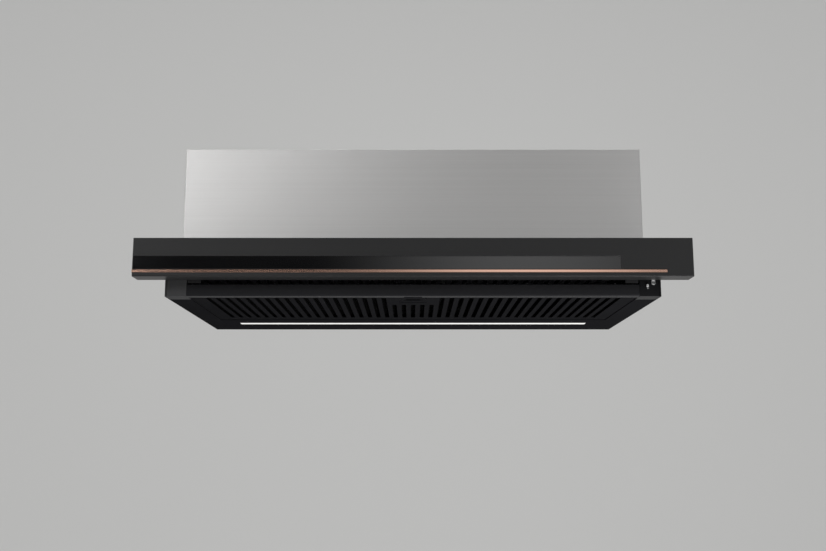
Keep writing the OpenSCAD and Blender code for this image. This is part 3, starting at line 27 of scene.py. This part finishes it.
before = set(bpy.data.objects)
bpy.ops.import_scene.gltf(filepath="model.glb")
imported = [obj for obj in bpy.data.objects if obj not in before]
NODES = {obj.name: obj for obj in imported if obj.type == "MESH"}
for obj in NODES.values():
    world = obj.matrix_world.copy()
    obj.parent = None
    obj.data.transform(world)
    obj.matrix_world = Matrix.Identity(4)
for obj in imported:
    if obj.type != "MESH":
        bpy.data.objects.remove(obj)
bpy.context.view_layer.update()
MM = 0.001

# Studio
STAGE_MIDDLE = (0, -0.2, 0)
EVEN_SHARE = 0.6  # of the backdrop's even glow, against its shaded paint
BEYOND_SHARE = 0.8  # how pale the surroundings look past the backdrop's ends, against it
CARD_SIZE = (2.4, 0.8)
CARD_PLACE = (0.0, -3.0, 0.52)
CARD_RISE = (-0.42, 0.42)
CARD_FALL = (0.45, 1.35)
CARD_DARK = (0.01, 0.01, 0.01)
# Each lamp's name, the setting that holds its power, its place, its aim and its size
LAMPS = (
    ("key lamp", "key", (-1.8, -3.0, 0.97), STAGE_MIDDLE, (1.6, 0.86)),
    ("fill lamp", "fill", (-0.75, -3.0, 1.25), STAGE_MIDDLE, (1.1, 0.7)),
    ("side lamp", "side", (1.7, -3.0, 1.0), STAGE_MIDDLE, (1.2, 1.4)),
    ("low lamp", "low", (0.62, -0.7, -1.15), (0.4, -0.3, 0), (0.5, 0.5)),
    ("top lamp", "top", (0, -0.2, 2.1), STAGE_MIDDLE, (2.4, 2.0)),
)


def colour_property(name, description, default):
    return FloatVectorProperty(
        name=name, description=description, default=default, subtype="COLOR", size=3, min=0, max=1
    )


def share_property(name, description, default):
    return FloatProperty(
        name=name, description=description, default=default, min=0, max=1, subtype="FACTOR"
    )


def length_property(name, description, default):
    return FloatProperty(name=name, description=description, default=default, unit="LENGTH")


def power_property(name, description, default):
    return FloatProperty(name=name, description=description, default=default, min=0)


class HoodFinishes(bpy.types.PropertyGroup):
    """Colours and gloss of the hood's main surfaces."""

    steel: colour_property("Stainless", "Colour of the stainless front panel", (0.60, 0.595, 0.59))
    steel_roughness: share_property("Stainless roughness", "Gloss of the front panel", 0.40)
    fascia: colour_property("Fascia", "Colour of the fascia profile", (0.023, 0.023, 0.0235))
    fascia_roughness: share_property("Fascia roughness", "Gloss of the fascia profile", 0.42)
    glass: colour_property("Glass inlay", "Colour of the glass inlay", (0.004, 0.004, 0.0045))
    copper: colour_property("Copper line", "Colour of the copper line", (1.0, 0.62, 0.48))
    moulding: colour_property(
        "Black mouldings", "Colour of the lower frame", (0.010, 0.010, 0.011)
    )
    moulding_roughness: share_property("Moulding roughness", "Gloss of the lower frame", 0.38)
    zinc: colour_property("Galvanised sheet", "Colour of the body's sheet", (0.50, 0.51, 0.52))
    glow: colour_property("Light", "Colour of the lit diffuser", (1.0, 0.985, 0.96))
    glow_strength: power_property("Light strength", "Strength of the lit diffuser", 0.37)


class HoodStage(bpy.types.PropertyGroup):
    """Studio, lamps and camera."""

    floor_drop: length_property("Floor", "How far the floor lies below the fascia's top", 1.65)
    wall_back: length_property("Backdrop", "How far it stands behind the wall plane", 2.6)
    paint: colour_property(
        "Backdrop colour", "Colour of the floor and the backdrop", (0.80, 0.80, 0.79)
    )
    pale: share_property("Backdrop level", "How pale the backdrop looks", 0.72)
    ambient: power_property("Ambient", "Level of the surrounding light", 0.16)
    key: power_property("Key lamp", "Power of the large lamp on the left", 20.0)
    fill: power_property("Fill lamp", "Power of the lamp that reaches over the left half", 5.0)
    side: power_property("Side lamp", "Power of the soft lamp on the right", 7.0)
    top: power_property("Top lamp", "Power of the lamp overhead", 31.0)
    card: power_property("Card", "Strength of the glowing card on the right", 0.78)
    low: power_property("Low lamp", "Power of the small lamp below on the right", 13.0)
    camera_back: length_property("Camera distance", "Distance from the wall plane", 1.3683)
    camera_drop: length_property(
        "Camera drop", "How far the camera is below the fascia's top", 0.2251
    )
    camera_pitch: FloatProperty(
        name="Camera pitch",
        description="How far the camera looks up",
        default=math.radians(10.0),
        subtype="ANGLE",
    )
    lens: FloatProperty(name="Lens", description="Focal length in millimetres", default=43.45)


class Value:
    """What a socket carries. Arithmetic on it adds Math nodes to its finish."""

    def __init__(self, finish, socket):
        self.finish = finish
        self.socket = socket

    def math(self, operation, *operands):
        return self.finish.add("ShaderNodeMath", {"operation": operation}, operands)

    def __add__(self, other):
        return self.math("ADD", self, other)

    def __sub__(self, other):
        return self.math("SUBTRACT", self, other)

    def __rsub__(self, other):
        return self.math("SUBTRACT", other, self)

    def __mul__(self, other):
        return self.math("MULTIPLY", self, other)

    def __truediv__(self, other):
        return self.math("DIVIDE", self, other)

    def __lt__(self, other):
        return self.math("LESS_THAN", self, other)

    def __gt__(self, other):
        return self.math("GREATER_THAN", self, other)

    __radd__ = __add__
    __rmul__ = __mul__

    def __abs__(self):
        return self.math("ABSOLUTE", self)

    def fraction(self):
        return self.math("FRACT", self)


class Finish:
    """A principled material, with the node helpers that its pattern is written with."""

    def __init__(self, name, **constants):
        self.material = bpy.data.materials.new(name)
        self.material.use_nodes = True
        self.tree = self.material.node_tree
        self.output = self.tree.nodes["Material Output"]
        self.shader = self.tree.nodes["Principled BSDF"]
        for key, value in constants.items():
            self.set(key, value)
        self.place = self.add("ShaderNodeTexCoord", output="Object")

    def feed(self, socket, value):
        if isinstance(value, Value):
            self.tree.links.new(value.socket, socket)
        elif hasattr(value, "__len__") and len(value) + 1 == len(socket.default_value):
            socket.default_value = (*value, 1.0)
        else:
            socket.default_value = value

    def set(self, key, value):
        """Feeds the shader's socket of that name, in lower case with underscores."""
        title = key.replace("_", " ").title().replace("Ior", "IOR")
        self.feed(self.shader.inputs[title], value)

    def add(self, kind, settings=None, inputs=(), output=0):
        node = self.tree.nodes.new(kind)
        for key, value in (settings or {}).items():
            setattr(node, key, value)
        pairs = inputs.items() if isinstance(inputs, dict) else enumerate(inputs)
        for key, value in pairs:
            self.feed(node.inputs[key], value)
        return Value(self, node.outputs[output])

    def axes(self):
        """The place on the object as three numbers, in metres."""
        split = self.add("ShaderNodeSeparateXYZ", inputs=(self.place,))
        node = split.socket.node
        return [Value(self, node.outputs[i]) for i in range(3)]

    def stretched(self, scale):
        return self.add("ShaderNodeMapping", inputs={"Vector": self.place, "Scale": scale})

    def noise(self, scale, detail=2.0, roughness=0.5):
        """Noise from 0 to 1. The scale is a number, or one number for each axis, per metre."""
        vector = self.stretched(scale) if isinstance(scale, tuple) else self.place
        size = 1.0 if isinstance(scale, tuple) else scale
        return self.add(
            "ShaderNodeTexNoise",
            inputs={"Vector": vector, "Scale": size, "Detail": detail, "Roughness": roughness},
        )

    def cells(self, scale, output="Distance"):
        return self.add(
            "ShaderNodeTexVoronoi", inputs={"Vector": self.place, "Scale": scale}, output=output
        )

    def spread(self, value, low, high):
        """Maps a pattern from 0..1 to low..high."""
        return value * (high - low) + low

    def band(self, value, low, high):
        """A mask that is 0 at low and 1 at high, and smooth between."""
        return self.add(
            "ShaderNodeMapRange",
            {"interpolation_type": "SMOOTHSTEP"},
            {"Value": value, "From Min": low, "From Max": high, "To Min": 0.0, "To Max": 1.0},
        )

    def mix(self, factor, first, second):
        return self.add(
            "ShaderNodeMix",
            {"data_type": "RGBA"},
            {0: factor, 6: first, 7: second},
            output=2,
        )

    def bump(self, height, distance, strength=1.0, edge=None):
        """Feeds the normal from a height pattern, over edges softened to a radius of edge."""
        inputs = {"Height": height, "Distance": distance, "Strength": strength}
        if edge:
            inputs["Normal"] = self.add("ShaderNodeBevel", {"samples": 6}, {"Radius": edge})
        self.set("normal", self.add("ShaderNodeBump", inputs=inputs))


def tone(colour, factor):
    return tuple(min(1.0, c * factor) for c in colour)


# Finishes


def brushed_stainless():
    look = bpy.context.scene.hood_finishes
    finish = Finish("brushed stainless", metallic=1.0)
    fine = finish.noise((6.0, 6.0, 2600.0), detail=3.0, roughness=0.6)
    broad = finish.noise((2.0, 2.0, 420.0), detail=2.0)
    cloud = finish.noise(5.0, detail=2.0)
    grain = fine * 0.65 + broad * 0.35
    finish.set("base_color", finish.mix(grain, tone(look.steel, 0.90), tone(look.steel, 1.10)))
    finish.set(
        "roughness",
        finish.spread(grain, look.steel_roughness - 0.06, look.steel_roughness + 0.06)
        + finish.spread(cloud, -0.02, 0.02),
    )
    finish.bump(grain, 0.00012, 0.6, edge=0.0008)
    return finish.material


def galvanised():
    look = bpy.context.scene.hood_finishes
    finish = Finish("galvanised sheet", metallic=0.9)
    spangle = finish.add(
        "ShaderNodeSeparateColor", inputs=(finish.cells(140.0, output="Color"),)
    )
    cloud = finish.noise(14.0, detail=4.0)
    pattern = spangle * 0.6 + cloud * 0.4
    finish.set("base_color", finish.mix(pattern, tone(look.zinc, 0.92), tone(look.zinc, 1.08)))
    finish.set("roughness", finish.spread(pattern, 0.40, 0.50))
    finish.bump(pattern, 0.00003, 0.4)
    return finish.material


def zinc_plated():
    finish = Finish("zinc plated steel", metallic=1.0)
    cloud = finish.noise(40.0, detail=4.0)
    fine = finish.noise(900.0)
    finish.set("base_color", finish.mix(cloud, (0.52, 0.54, 0.57), (0.66, 0.67, 0.68)))
    finish.set("roughness", finish.spread(cloud, 0.28, 0.42) + fine * 0.05)
    finish.bump(fine, 0.00003, 0.4)
    return finish.material


def screw_steel():
    finish = Finish("screw steel", metallic=1.0)
    fine = finish.noise(700.0, detail=3.0)
    finish.set("base_color", finish.mix(fine, (0.55, 0.55, 0.56), (0.74, 0.74, 0.75)))
    finish.set("roughness", finish.spread(fine, 0.22, 0.36))
    finish.bump(fine, 0.00002, 0.4)
    return finish.material


def black_moulding(share=1.0):
    look = bpy.context.scene.hood_finishes
    # a share below 1 gives a darker copy of the moulding as painted shade
    low, high = tone(look.moulding, 1.8 * share), tone(look.moulding, 2.3 * share)
    finish = Finish("black moulding", specular_ior_level=0.05)
    texture = finish.noise(1400.0, detail=2.0)
    cloud = finish.noise(9.0, detail=3.0)
    finish.set("base_color", finish.mix(cloud, low, high))
    finish.set(
        "roughness",
        finish.spread(cloud, look.moulding_roughness - 0.04, look.moulding_roughness + 0.05),
    )
    finish.bump(texture, 0.00006, 0.35, edge=0.0006)
    return finish.material


def painted_light_moulding():
    """The left corner block's moulding, painted lighter than the bar beside it as painted light
    from the left.
    """
    finish = Finish("satin moulding", specular_ior_level=0.0)
    texture = finish.noise(1300.0, detail=2.0)
    cloud = finish.noise(11.0, detail=3.0)
    # painted light: a lit copy of the black moulding, several times lighter than the bar's
    finish.set("base_color", finish.mix(cloud, (0.068, 0.068, 0.070), (0.080, 0.080, 0.082)))
    finish.set("roughness", finish.spread(cloud, 0.42, 0.50))
    finish.bump(texture, 0.00006, 0.35, edge=0.0006)
    return finish.material


def dull_coat():
    """Powder coat of the underside, duller than the front mouldings."""
    look = bpy.context.scene.hood_finishes
    finish = Finish("dull black coat", specular_ior_level=0.0)
    texture = finish.noise(1800.0, detail=2.0)
    cloud = finish.noise(7.0, detail=3.0)
    finish.set("base_color", finish.mix(cloud, tone(look.moulding, 1.2), tone(look.moulding, 1.6)))
    finish.set("roughness", finish.spread(cloud, 0.60, 0.70))
    finish.bump(texture, 0.00008, 0.4, edge=0.0004)
    return finish.material


def fascia_coat():
    look = bpy.context.scene.hood_finishes
    finish = Finish("fascia coat", specular_ior_level=0.28)
    texture = finish.noise((500.0, 1500.0, 1500.0), detail=2.0)
    cloud = finish.noise(7.0, detail=2.0)
    finish.set("base_color", finish.mix(cloud, tone(look.fascia, 0.92), tone(look.fascia, 1.1)))
    finish.set(
        "roughness",
        finish.spread(cloud, look.fascia_roughness - 0.03, look.fascia_roughness + 0.03),
    )
    finish.bump(texture, 0.00004, 0.3, edge=0.0007)
    return finish.material


def black_glass():
    look = bpy.context.scene.hood_finishes
    finish = Finish("black glass", ior=1.8)
    smear = finish.noise((9.0, 9.0, 30.0), detail=3.0)
    finish.set("base_color", finish.mix(smear, look.glass, tone(look.glass, 1.3)))
    finish.set("roughness", finish.spread(smear, 0.06, 0.11))
    return finish.material


def copper():
    """Copper with painted shade along its upper and lower edges, for the dimmer reflection off its
    rounded edges.
    """
    look = bpy.context.scene.hood_finishes
    finish = Finish("copper", metallic=1.0, anisotropic=0.6, anisotropic_rotation=0.25)
    cloud = finish.noise((12.0, 60.0, 60.0), detail=2.0)
    low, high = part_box("copper_trim")
    _, _, z = finish.axes()
    # painted shade: the base colour darkens towards the trim's upper and lower edges
    edge = finish.band(abs(z - (low.z + high.z) / 2), 0.7 * MM, 1.8 * MM)
    bright = finish.mix(cloud, tone(look.copper, 0.97), tone(look.copper, 1.02))
    finish.set("base_color", finish.mix(edge, bright, tone(look.copper, 0.35)))
    finish.set("roughness", finish.spread(cloud, 0.15, 0.17))
    return finish.material


def aluminium():
    finish = Finish("aluminium", metallic=1.0)
    grain = finish.noise((30.0, 900.0, 900.0), detail=3.0)
    cloud = finish.noise(20.0, detail=3.0)
    finish.set("base_color", finish.mix(grain, (0.58, 0.58, 0.59), (0.74, 0.74, 0.745)))
    finish.set("roughness", finish.spread(cloud, 0.34, 0.48))
    finish.bump(grain, 0.00003, 0.4)
    return finish.material


def expanded_metal():
    """Black coated sheet with a diamond pattern of small holes, made near-black as painted shade
    for the dark inside of the filter.
    """
    finish = Finish("expanded metal", specular_ior_level=0.0)
    x, y, _ = finish.axes()
    pitch = 3.2 * MM
    half_hole = 0.34  # of a pitch
    first = abs(((x + y) / pitch).fraction() - 0.5)
    second = abs(((x - y) / pitch).fraction() - 0.5)
    hole = (first < half_hole) * (second < half_hole)
    cloud = finish.noise(60.0)
    # painted shade: the coat is near-black so the filter's inside reads as shade
    finish.set("base_color", finish.mix(cloud, (0.003, 0.003, 0.003), (0.006, 0.006, 0.006)))
    finish.set("roughness", finish.spread(cloud, 0.55, 0.70))
    finish.set("alpha", 1.0 - hole)
    finish.bump(first * second, 0.0003, 0.5)
    return finish.material


def deck_paint():
    finish = Finish("deck paint")
    texture = finish.noise(700.0, detail=2.0)
    cloud = finish.noise(8.0, detail=3.0)
    finish.set("base_color", finish.mix(cloud, (0.016, 0.016, 0.017), (0.024, 0.024, 0.026)))
    finish.set("roughness", finish.spread(cloud, 0.40, 0.52))
    finish.bump(texture, 0.00005, 0.4)
    return finish.material


def moulded(name, colour, roughness):
    """A plain technical moulding with a fine surface."""
    finish = Finish(name)
    texture = finish.noise(1100.0, detail=2.0)
    cloud = finish.noise(16.0, detail=3.0)
    finish.set("base_color", finish.mix(cloud, tone(colour, 0.9), tone(colour, 1.08)))
    finish.set("roughness", finish.spread(cloud, roughness - 0.05, roughness + 0.07))
    finish.bump(texture, 0.00005, 0.4, edge=0.0005)
    return finish.material


def rubber(name="rubber", colour=(0.022, 0.022, 0.023)):
    finish = Finish(name)
    texture = finish.noise(800.0, detail=3.0)
    finish.set("base_color", finish.mix(texture, tone(colour, 0.8), tone(colour, 1.25)))
    finish.set("roughness", finish.spread(texture, 0.55, 0.75))
    finish.bump(texture, 0.00008, 0.4)
    return finish.material


def polished(name, colour, roughness):
    finish = Finish(name, metallic=1.0)
    fine = finish.noise(300.0, detail=3.0)
    finish.set("base_color", finish.mix(fine, tone(colour, 0.95), tone(colour, 1.03)))
    finish.set("roughness", finish.spread(fine, roughness, roughness + 0.08))
    finish.bump(fine, 0.00001, 0.3)
    return finish.material


def ball_cage():
    """Brass cage with polished steel balls, which stand beyond the cage's folded edges."""
    finish = Finish("ball cage", metallic=1.0)
    low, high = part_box("ball_cage_left")
    middle = (low.z + high.z) / 2
    fold = 4.4 * MM  # how far the balls reach past the cage's folds
    _, _, z = finish.axes()
    ball = abs(z - middle) > (high.z - low.z) / 2 - fold
    fine = finish.noise(260.0, detail=2.0)
    cage = finish.mix(fine, (0.60, 0.52, 0.28), (0.70, 0.62, 0.36))
    finish.set("base_color", finish.mix(ball, cage, (0.74, 0.74, 0.75)))
    finish.set("roughness", 0.34 - ball * 0.22 + fine * 0.05)
    return finish.material


def circuit_board(name, mask=(0.012, 0.11, 0.035)):
    """Solder mask over a grid of copper tracks and round pads."""
    finish = Finish(name)
    x, y, z = finish.axes()
    track = (((x + y) * 260.0).fraction() < 0.16) + (((z + x) * 310.0).fraction() < 0.12)
    pad = finish.cells(330.0) < 0.16
    ground = finish.mix(track, mask, tone(mask, 1.9))
    finish.set("base_color", finish.mix(pad, ground, (0.62, 0.50, 0.24)))
    finish.set("roughness", finish.spread(finish.noise(90.0), 0.28, 0.40))
    finish.bump(track + pad, 0.00004, 0.5)
    return finish.material


def light_board():
    """White board with yellow phosphor on each diode, which hangs below the board."""
    finish = Finish("light board")
    low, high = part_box("led_board")
    _, _, z = finish.axes()
    board_low = high.z - 1.25 * MM
    diode = finish.band(z, board_low, board_low - 0.2 * MM)
    fine = finish.noise(200.0)
    board = finish.mix(fine, (0.78, 0.78, 0.75), (0.86, 0.86, 0.84))
    finish.set("base_color", finish.mix(diode, board, (0.86, 0.66, 0.12)))
    finish.set("roughness", finish.spread(fine, 0.34, 0.46))
    return finish.material


def lit_diffuser():
    look = bpy.context.scene.hood_finishes
    finish = Finish("lit diffuser", roughness=0.35, emission_strength=look.glow_strength)
    _, y, _ = finish.axes()
    low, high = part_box("led_diffuser")
    middle = (low.y + high.y) / 2
    edge = finish.band(abs(y - middle), 3.5 * MM, 7.2 * MM)
    grain = finish.noise(500.0)
    finish.set("base_color", finish.mix(grain, (0.82, 0.82, 0.80), (0.88, 0.88, 0.86)))
    finish.set("emission_color", finish.mix(edge, look.glow, tone(look.glow, 0.72)))
    finish.bump(grain, 0.00003, 0.3)
    return finish.material


def motor_coat():
    """Painted motor body with fine lamination rings along x over its whole length."""
    finish = Finish("motor coat", metallic=0.6)
    x, _, _ = finish.axes()
    layers = (x * 1000.0).fraction() < 0.35
    cloud = finish.noise(50.0, detail=3.0)
    finish.set("base_color", finish.mix(cloud, (0.085, 0.087, 0.092), (0.14, 0.142, 0.15)))
    finish.set("roughness", finish.spread(cloud, 0.36, 0.5) + layers * 0.08)
    finish.bump(layers, 0.00006, 0.6)
    return finish.material


def dress(material, *names):
    """Gives CAD nodes or pieces that material."""
    for name in names:
        mesh = (NODES[name] if name in NODES else bpy.data.objects[name]).data
        mesh.materials.clear()
        mesh.materials.append(material)


# Operators


class Dresser:
    """What every operator of the hood shares."""

    bl_options = {"REGISTER", "UNDO"}

    def execute(self, context):
        self.build(context.scene)
        return {"FINISHED"}


class HOOD_OT_body(Dresser, bpy.types.Operator):
    """Finishes the sheet body, its stainless front and the cabinet brackets"""

    bl_idname = "hood.body"
    bl_label = "Upper Body"

    def build(self, scene):
        dress(
            galvanised(),
            "housing",
            "body_side_left",
            "body_side_right",
            "side_bracket_left",
            "side_bracket_right",
        )
        dress(brushed_stainless(), "front_panel")


class HOOD_OT_lower_frame(Dresser, bpy.types.Operator):
    """Finishes the lower frame, its front bar, corner blocks and buttons"""

    bl_idname = "hood.lower_frame"
    bl_label = "Lower Frame"

    def build(self, scene):
        dress(dull_coat(), "base_frame")
        dress(black_moulding(), "front_bar")
        # the right corner block gets a darker copy of the bar's moulding as painted shade
        dress(black_moulding(0.6), "end_cap_right")
        # the left corner block gets a lighter copy of the black moulding as painted light
        dress(painted_light_moulding(), "end_cap_left")
        dress(polished("button chrome", (0.92, 0.92, 0.93), 0.12), "fan_button", "light_button")
        dress(circuit_board("switch board"), "switch_board")
        dress(screw_steel(), "catch_clip")


class HOOD_OT_fascia(Dresser, bpy.types.Operator):
    """Finishes the fascia, its glass inlay and its copper line"""

    bl_idname = "hood.fascia"
    bl_label = "Fascia"

    def build(self, scene):
        dress(fascia_coat(), "fascia", "fascia_plug_left", "fascia_plug_right")
        dress(black_glass(), "glass_inlay")
        dress(copper(), "copper_trim")


class HOOD_OT_carriage(Dresser, bpy.types.Operator):
    """Finishes the carriage, its filter and the ball rails"""

    bl_idname = "hood.carriage"
    bl_label = "Carriage and Rails"

    def build(self, scene):
        dress(deck_paint(), "carriage_roof", "front_beam")
        dress(dull_coat(), "carriage_filter")
        dress(
            zinc_plated(),
            "rail_inner_left",
            "rail_inner_right",
            "rail_fixed_left",
            "rail_fixed_right",
        )
        dress(ball_cage(), "ball_cage_left", "ball_cage_right")
        dress(polished("magnet nickel", (0.62, 0.61, 0.58), 0.18), "magnet")
        dress(moulded("reed switch case", (0.78, 0.78, 0.75), 0.45), "reed_switch")


class HOOD_OT_grease_filter(Dresser, bpy.types.Operator):
    """Finishes the slotted grease filter and its latch"""

    bl_idname = "hood.grease_filter"
    bl_label = "Grease Filter"

    def build(self, scene):
        dress(dull_coat(), "filter_face", "filter_rim", "filter_latch")
        dress(expanded_metal(), "filter_mesh")


class HOOD_OT_light(Dresser, bpy.types.Operator):
    """Finishes the light strip and makes its diffuser glow"""

    bl_idname = "hood.light"
    bl_label = "Light Strip"

    def build(self, scene):
        dress(aluminium(), "led_channel")
        dress(light_board(), "led_board")
        dress(lit_diffuser(), "led_diffuser")


class HOOD_OT_blower(Dresser, bpy.types.Operator):
    """Finishes the scroll, the fan wheel and the motor"""

    bl_idname = "hood.blower"
    bl_label = "Blower"

    def build(self, scene):
        dress(moulded("scroll moulding", (0.62, 0.62, 0.58), 0.42), "scroll_left", "scroll_right")
        dress(moulded("wheel moulding", (0.035, 0.037, 0.045), 0.40), "fan_wheel")
        dress(zinc_plated(), "motor_bracket")
        dress(rubber("mount rubber"), "motor_mounts")
        dress(motor_coat(), "motor_body")
        dress(polished("bearing steel", (0.66, 0.65, 0.62), 0.16), "motor_bearings", "motor_shaft")


class HOOD_OT_outlet(Dresser, bpy.types.Operator):
    """Finishes the outlet collar and its damper flaps"""

    bl_idname = "hood.outlet"
    bl_label = "Outlet"

    def build(self, scene):
        dress(moulded("collar moulding", (0.030, 0.030, 0.032), 0.42), "outlet_collar")
        dress(
            moulded("flap moulding", (0.050, 0.050, 0.054), 0.48),
            "damper_flap_front",
            "damper_flap_rear",
        )


class HOOD_OT_controls(Dresser, bpy.types.Operator):
    """Finishes the control box, the capacitor, the driver, the gland and the wiring"""

    bl_idname = "hood.controls"
    bl_label = "Controls"

    def build(self, scene):
        dress(moulded("box moulding", (0.045, 0.045, 0.048), 0.50), "control_box", "control_lid")
        dress(circuit_board("control board"), "control_board")
        dress(moulded("capacitor case", (0.70, 0.70, 0.71), 0.36), "run_capacitor")
        dress(moulded("driver case", (0.76, 0.76, 0.73), 0.46), "led_driver")
        dress(moulded("gland moulding", (0.020, 0.020, 0.021), 0.45), "cable_gland")
        dress(rubber("lead sheath"), "wiring_loom")


class HOOD_OT_screws(Dresser, bpy.types.Operator):
    """Finishes every screw"""

    bl_idname = "hood.screws"
    bl_label = "Screws"

    def build(self, scene):
        dress(
            screw_steel(),
            "frame_screws",
            "bracket_screws",
            "collar_screws",
            "scroll_screws",
            "carriage_screws",
        )


def mesh_object(name, shape):
    """An object at the origin that holds a finished bmesh."""
    bmesh.ops.remove_doubles(shape, verts=shape.verts, dist=1e-6)
    bmesh.ops.recalc_face_normals(shape, faces=shape.faces)
    mesh = bpy.data.meshes.new(name)
    shape.to_mesh(mesh)
    shape.free()
    piece = bpy.data.objects.new(name, mesh)
    bpy.context.scene.collection.objects.link(piece)
    return piece


class HOOD_OT_stage(Dresser, bpy.types.Operator):
    """Builds the floor and backdrop, the lamps, the surrounding light and the camera"""

    bl_idname = "hood.stage"
    bl_label = "Studio"

    def sweep(self, stage):
        """The floor, which curves up into the backdrop."""
        half_width = 9.0
        reach = 9.0
        bend = 1.4
        shape = bmesh.new()
        back = stage.wall_back
        low = -stage.floor_drop
        steps = 16
        profile = [(-reach, low)]
        for i in range(steps + 1):
            a = math.radians(90.0 * i / steps)
            profile.append((back - bend + bend * math.sin(a), low + bend - bend * math.cos(a)))
        profile.append((back, low + reach))
        line = [shape.verts.new((-half_width, y, z)) for y, z in profile]
        edges = [shape.edges.new(pair) for pair in zip(line, line[1:])]
        made = bmesh.ops.extrude_edge_only(shape, edges=edges)
        moved = [v for v in made["geom"] if isinstance(v, bmesh.types.BMVert)]
        bmesh.ops.translate(shape, verts=moved, vec=(2 * half_width, 0, 0))
        for face in shape.faces:
            face.smooth = True
        piece = mesh_object("floor and backdrop", shape)
        piece.data.materials.append(self.pale_paint(stage))

    def pale_paint(self, stage):
        """Matt paint that the camera, metal and glass see at an even, pale level."""
        finish = Finish("backdrop paint", roughness=0.9)
        cloud = finish.noise(0.6)
        clean = tone(stage.paint, 1.0)
        finish.set("base_color", finish.mix(cloud, tone(stage.paint, 0.985), clean))
        camera = finish.add("ShaderNodeLightPath", output="Is Camera Ray")
        rays = camera.socket.node.outputs
        glossy = Value(finish, rays["Is Glossy Ray"])
        through = Value(finish, rays["Is Transmission Ray"])
        seen = camera + glossy + through
        even = finish.add("ShaderNodeEmission", inputs={"Color": clean, "Strength": stage.pale})
        painted = Value(finish, finish.shader.outputs[0])
        shown = finish.add("ShaderNodeMixShader", inputs=(seen * EVEN_SHARE, painted, even))
        finish.tree.links.new(shown.socket, finish.output.inputs["Surface"])
        return finish.material

    def card(self, stage):
        """A glowing card in front of the hood that brightens softly from its left end."""
        shape = bmesh.new()
        bmesh.ops.create_grid(shape, x_segments=1, y_segments=1, size=0.5)
        size = Matrix.Diagonal((*CARD_SIZE, 1.0, 1.0))
        turn = Matrix.Rotation(math.radians(90), 4, "X")
        place = Matrix.Translation(CARD_PLACE)
        bmesh.ops.transform(shape, matrix=place @ turn @ size, verts=shape.verts)
        piece = mesh_object("card", shape)
        finish = Finish("card glow", roughness=1.0, base_color=(0.0, 0.0, 0.0))
        x, _, _ = finish.axes()
        rise = finish.band(x, *CARD_RISE)
        fall = 1.0 - finish.band(x, *CARD_FALL)
        finish.set("emission_color", finish.mix(rise * fall, CARD_DARK, (1.0, 1.0, 1.0)))
        finish.set("emission_strength", stage.card)
        piece.data.materials.append(finish.material)
        piece.visible_camera = False

    def lamp(self, name, place, aim, size, power):
        data = bpy.data.lights.new(name, "AREA")
        data.shape = "RECTANGLE"
        data.size, data.size_y = size
        data.energy = power
        lamp = bpy.data.objects.new(name, data)
        lamp.location = place
        lamp.rotation_euler = (Vector(aim) - Vector(place)).to_track_quat("-Z", "Y").to_euler()
        bpy.context.scene.collection.objects.link(lamp)

    def surroundings(self, stage):
        """Even light from all sides, which the camera sees as pale as the backdrop."""
        world = bpy.data.worlds.new("studio")
        world.use_nodes = True
        tree = world.node_tree
        light = tree.nodes["Background"]
        light.inputs["Color"].default_value = (1, 1, 1, 1)
        light.inputs["Strength"].default_value = stage.ambient
        seen = tree.nodes.new("ShaderNodeBackground")
        seen.inputs["Color"].default_value = (*stage.paint, 1)
        seen.inputs["Strength"].default_value = stage.pale * BEYOND_SHARE
        path = tree.nodes.new("ShaderNodeLightPath")
        choice = tree.nodes.new("ShaderNodeMixShader")
        tree.links.new(path.outputs["Is Camera Ray"], choice.inputs[0])
        tree.links.new(light.outputs[0], choice.inputs[1])
        tree.links.new(seen.outputs[0], choice.inputs[2])
        tree.links.new(choice.outputs[0], tree.nodes["World Output"].inputs["Surface"])
        return world

    def build(self, scene):
        stage = scene.hood_stage
        self.sweep(stage)
        self.card(stage)
        for name, setting, place, aim, size in LAMPS:
            self.lamp(name, place, aim, size, getattr(stage, setting))
        scene.world = self.surroundings(stage)
        lens = bpy.data.cameras.new("camera")
        lens.lens = stage.lens
        lens.sensor_width = 36.0
        lens.clip_start = 0.01
        lens.clip_end = 50.0
        camera = bpy.data.objects.new("camera", lens)
        camera.location = (0, -stage.camera_back, -stage.camera_drop)
        camera.rotation_euler = (math.radians(90) + stage.camera_pitch, 0, 0)
        scene.collection.objects.link(camera)
        scene.camera = camera
        scene.view_settings.view_transform = "Standard"


OPERATORS = (
    HOOD_OT_body,
    HOOD_OT_lower_frame,
    HOOD_OT_fascia,
    HOOD_OT_carriage,
    HOOD_OT_grease_filter,
    HOOD_OT_light,
    HOOD_OT_blower,
    HOOD_OT_outlet,
    HOOD_OT_controls,
    HOOD_OT_screws,
    HOOD_OT_stage,
)


class HOOD_PT_sidebar(bpy.types.Panel):
    """Lists the hood's operators and settings"""

    bl_idname = "HOOD_PT_sidebar"
    bl_label = "Range Hood"
    bl_space_type = "VIEW_3D"
    bl_region_type = "UI"
    bl_category = "Range Hood"

    def draw(self, context):
        for operator in OPERATORS:
            self.layout.operator(operator.bl_idname)
        for group in (context.scene.hood_finishes, context.scene.hood_stage):
            box = self.layout.box()
            for name in group.__annotations__:
                box.prop(group, name)


GROUPS = {"hood_finishes": HoodFinishes, "hood_stage": HoodStage}


def register():
    for group in GROUPS.values():
        bpy.utils.register_class(group)
    for operator in OPERATORS:
        bpy.utils.register_class(operator)
    bpy.utils.register_class(HOOD_PT_sidebar)
    for name, group in GROUPS.items():
        setattr(bpy.types.Scene, name, PointerProperty(type=group))


def unregister():
    for name in GROUPS:
        delattr(bpy.types.Scene, name)
    bpy.utils.unregister_class(HOOD_PT_sidebar)
    for operator in reversed(OPERATORS):
        bpy.utils.unregister_class(operator)
    for group in reversed(GROUPS.values()):
        bpy.utils.unregister_class(group)


def main():
    register()
    for operator in OPERATORS:
        family, name = operator.bl_idname.split(".")
        getattr(getattr(bpy.ops, family), name)()


if __name__ == "__main__":
    main()
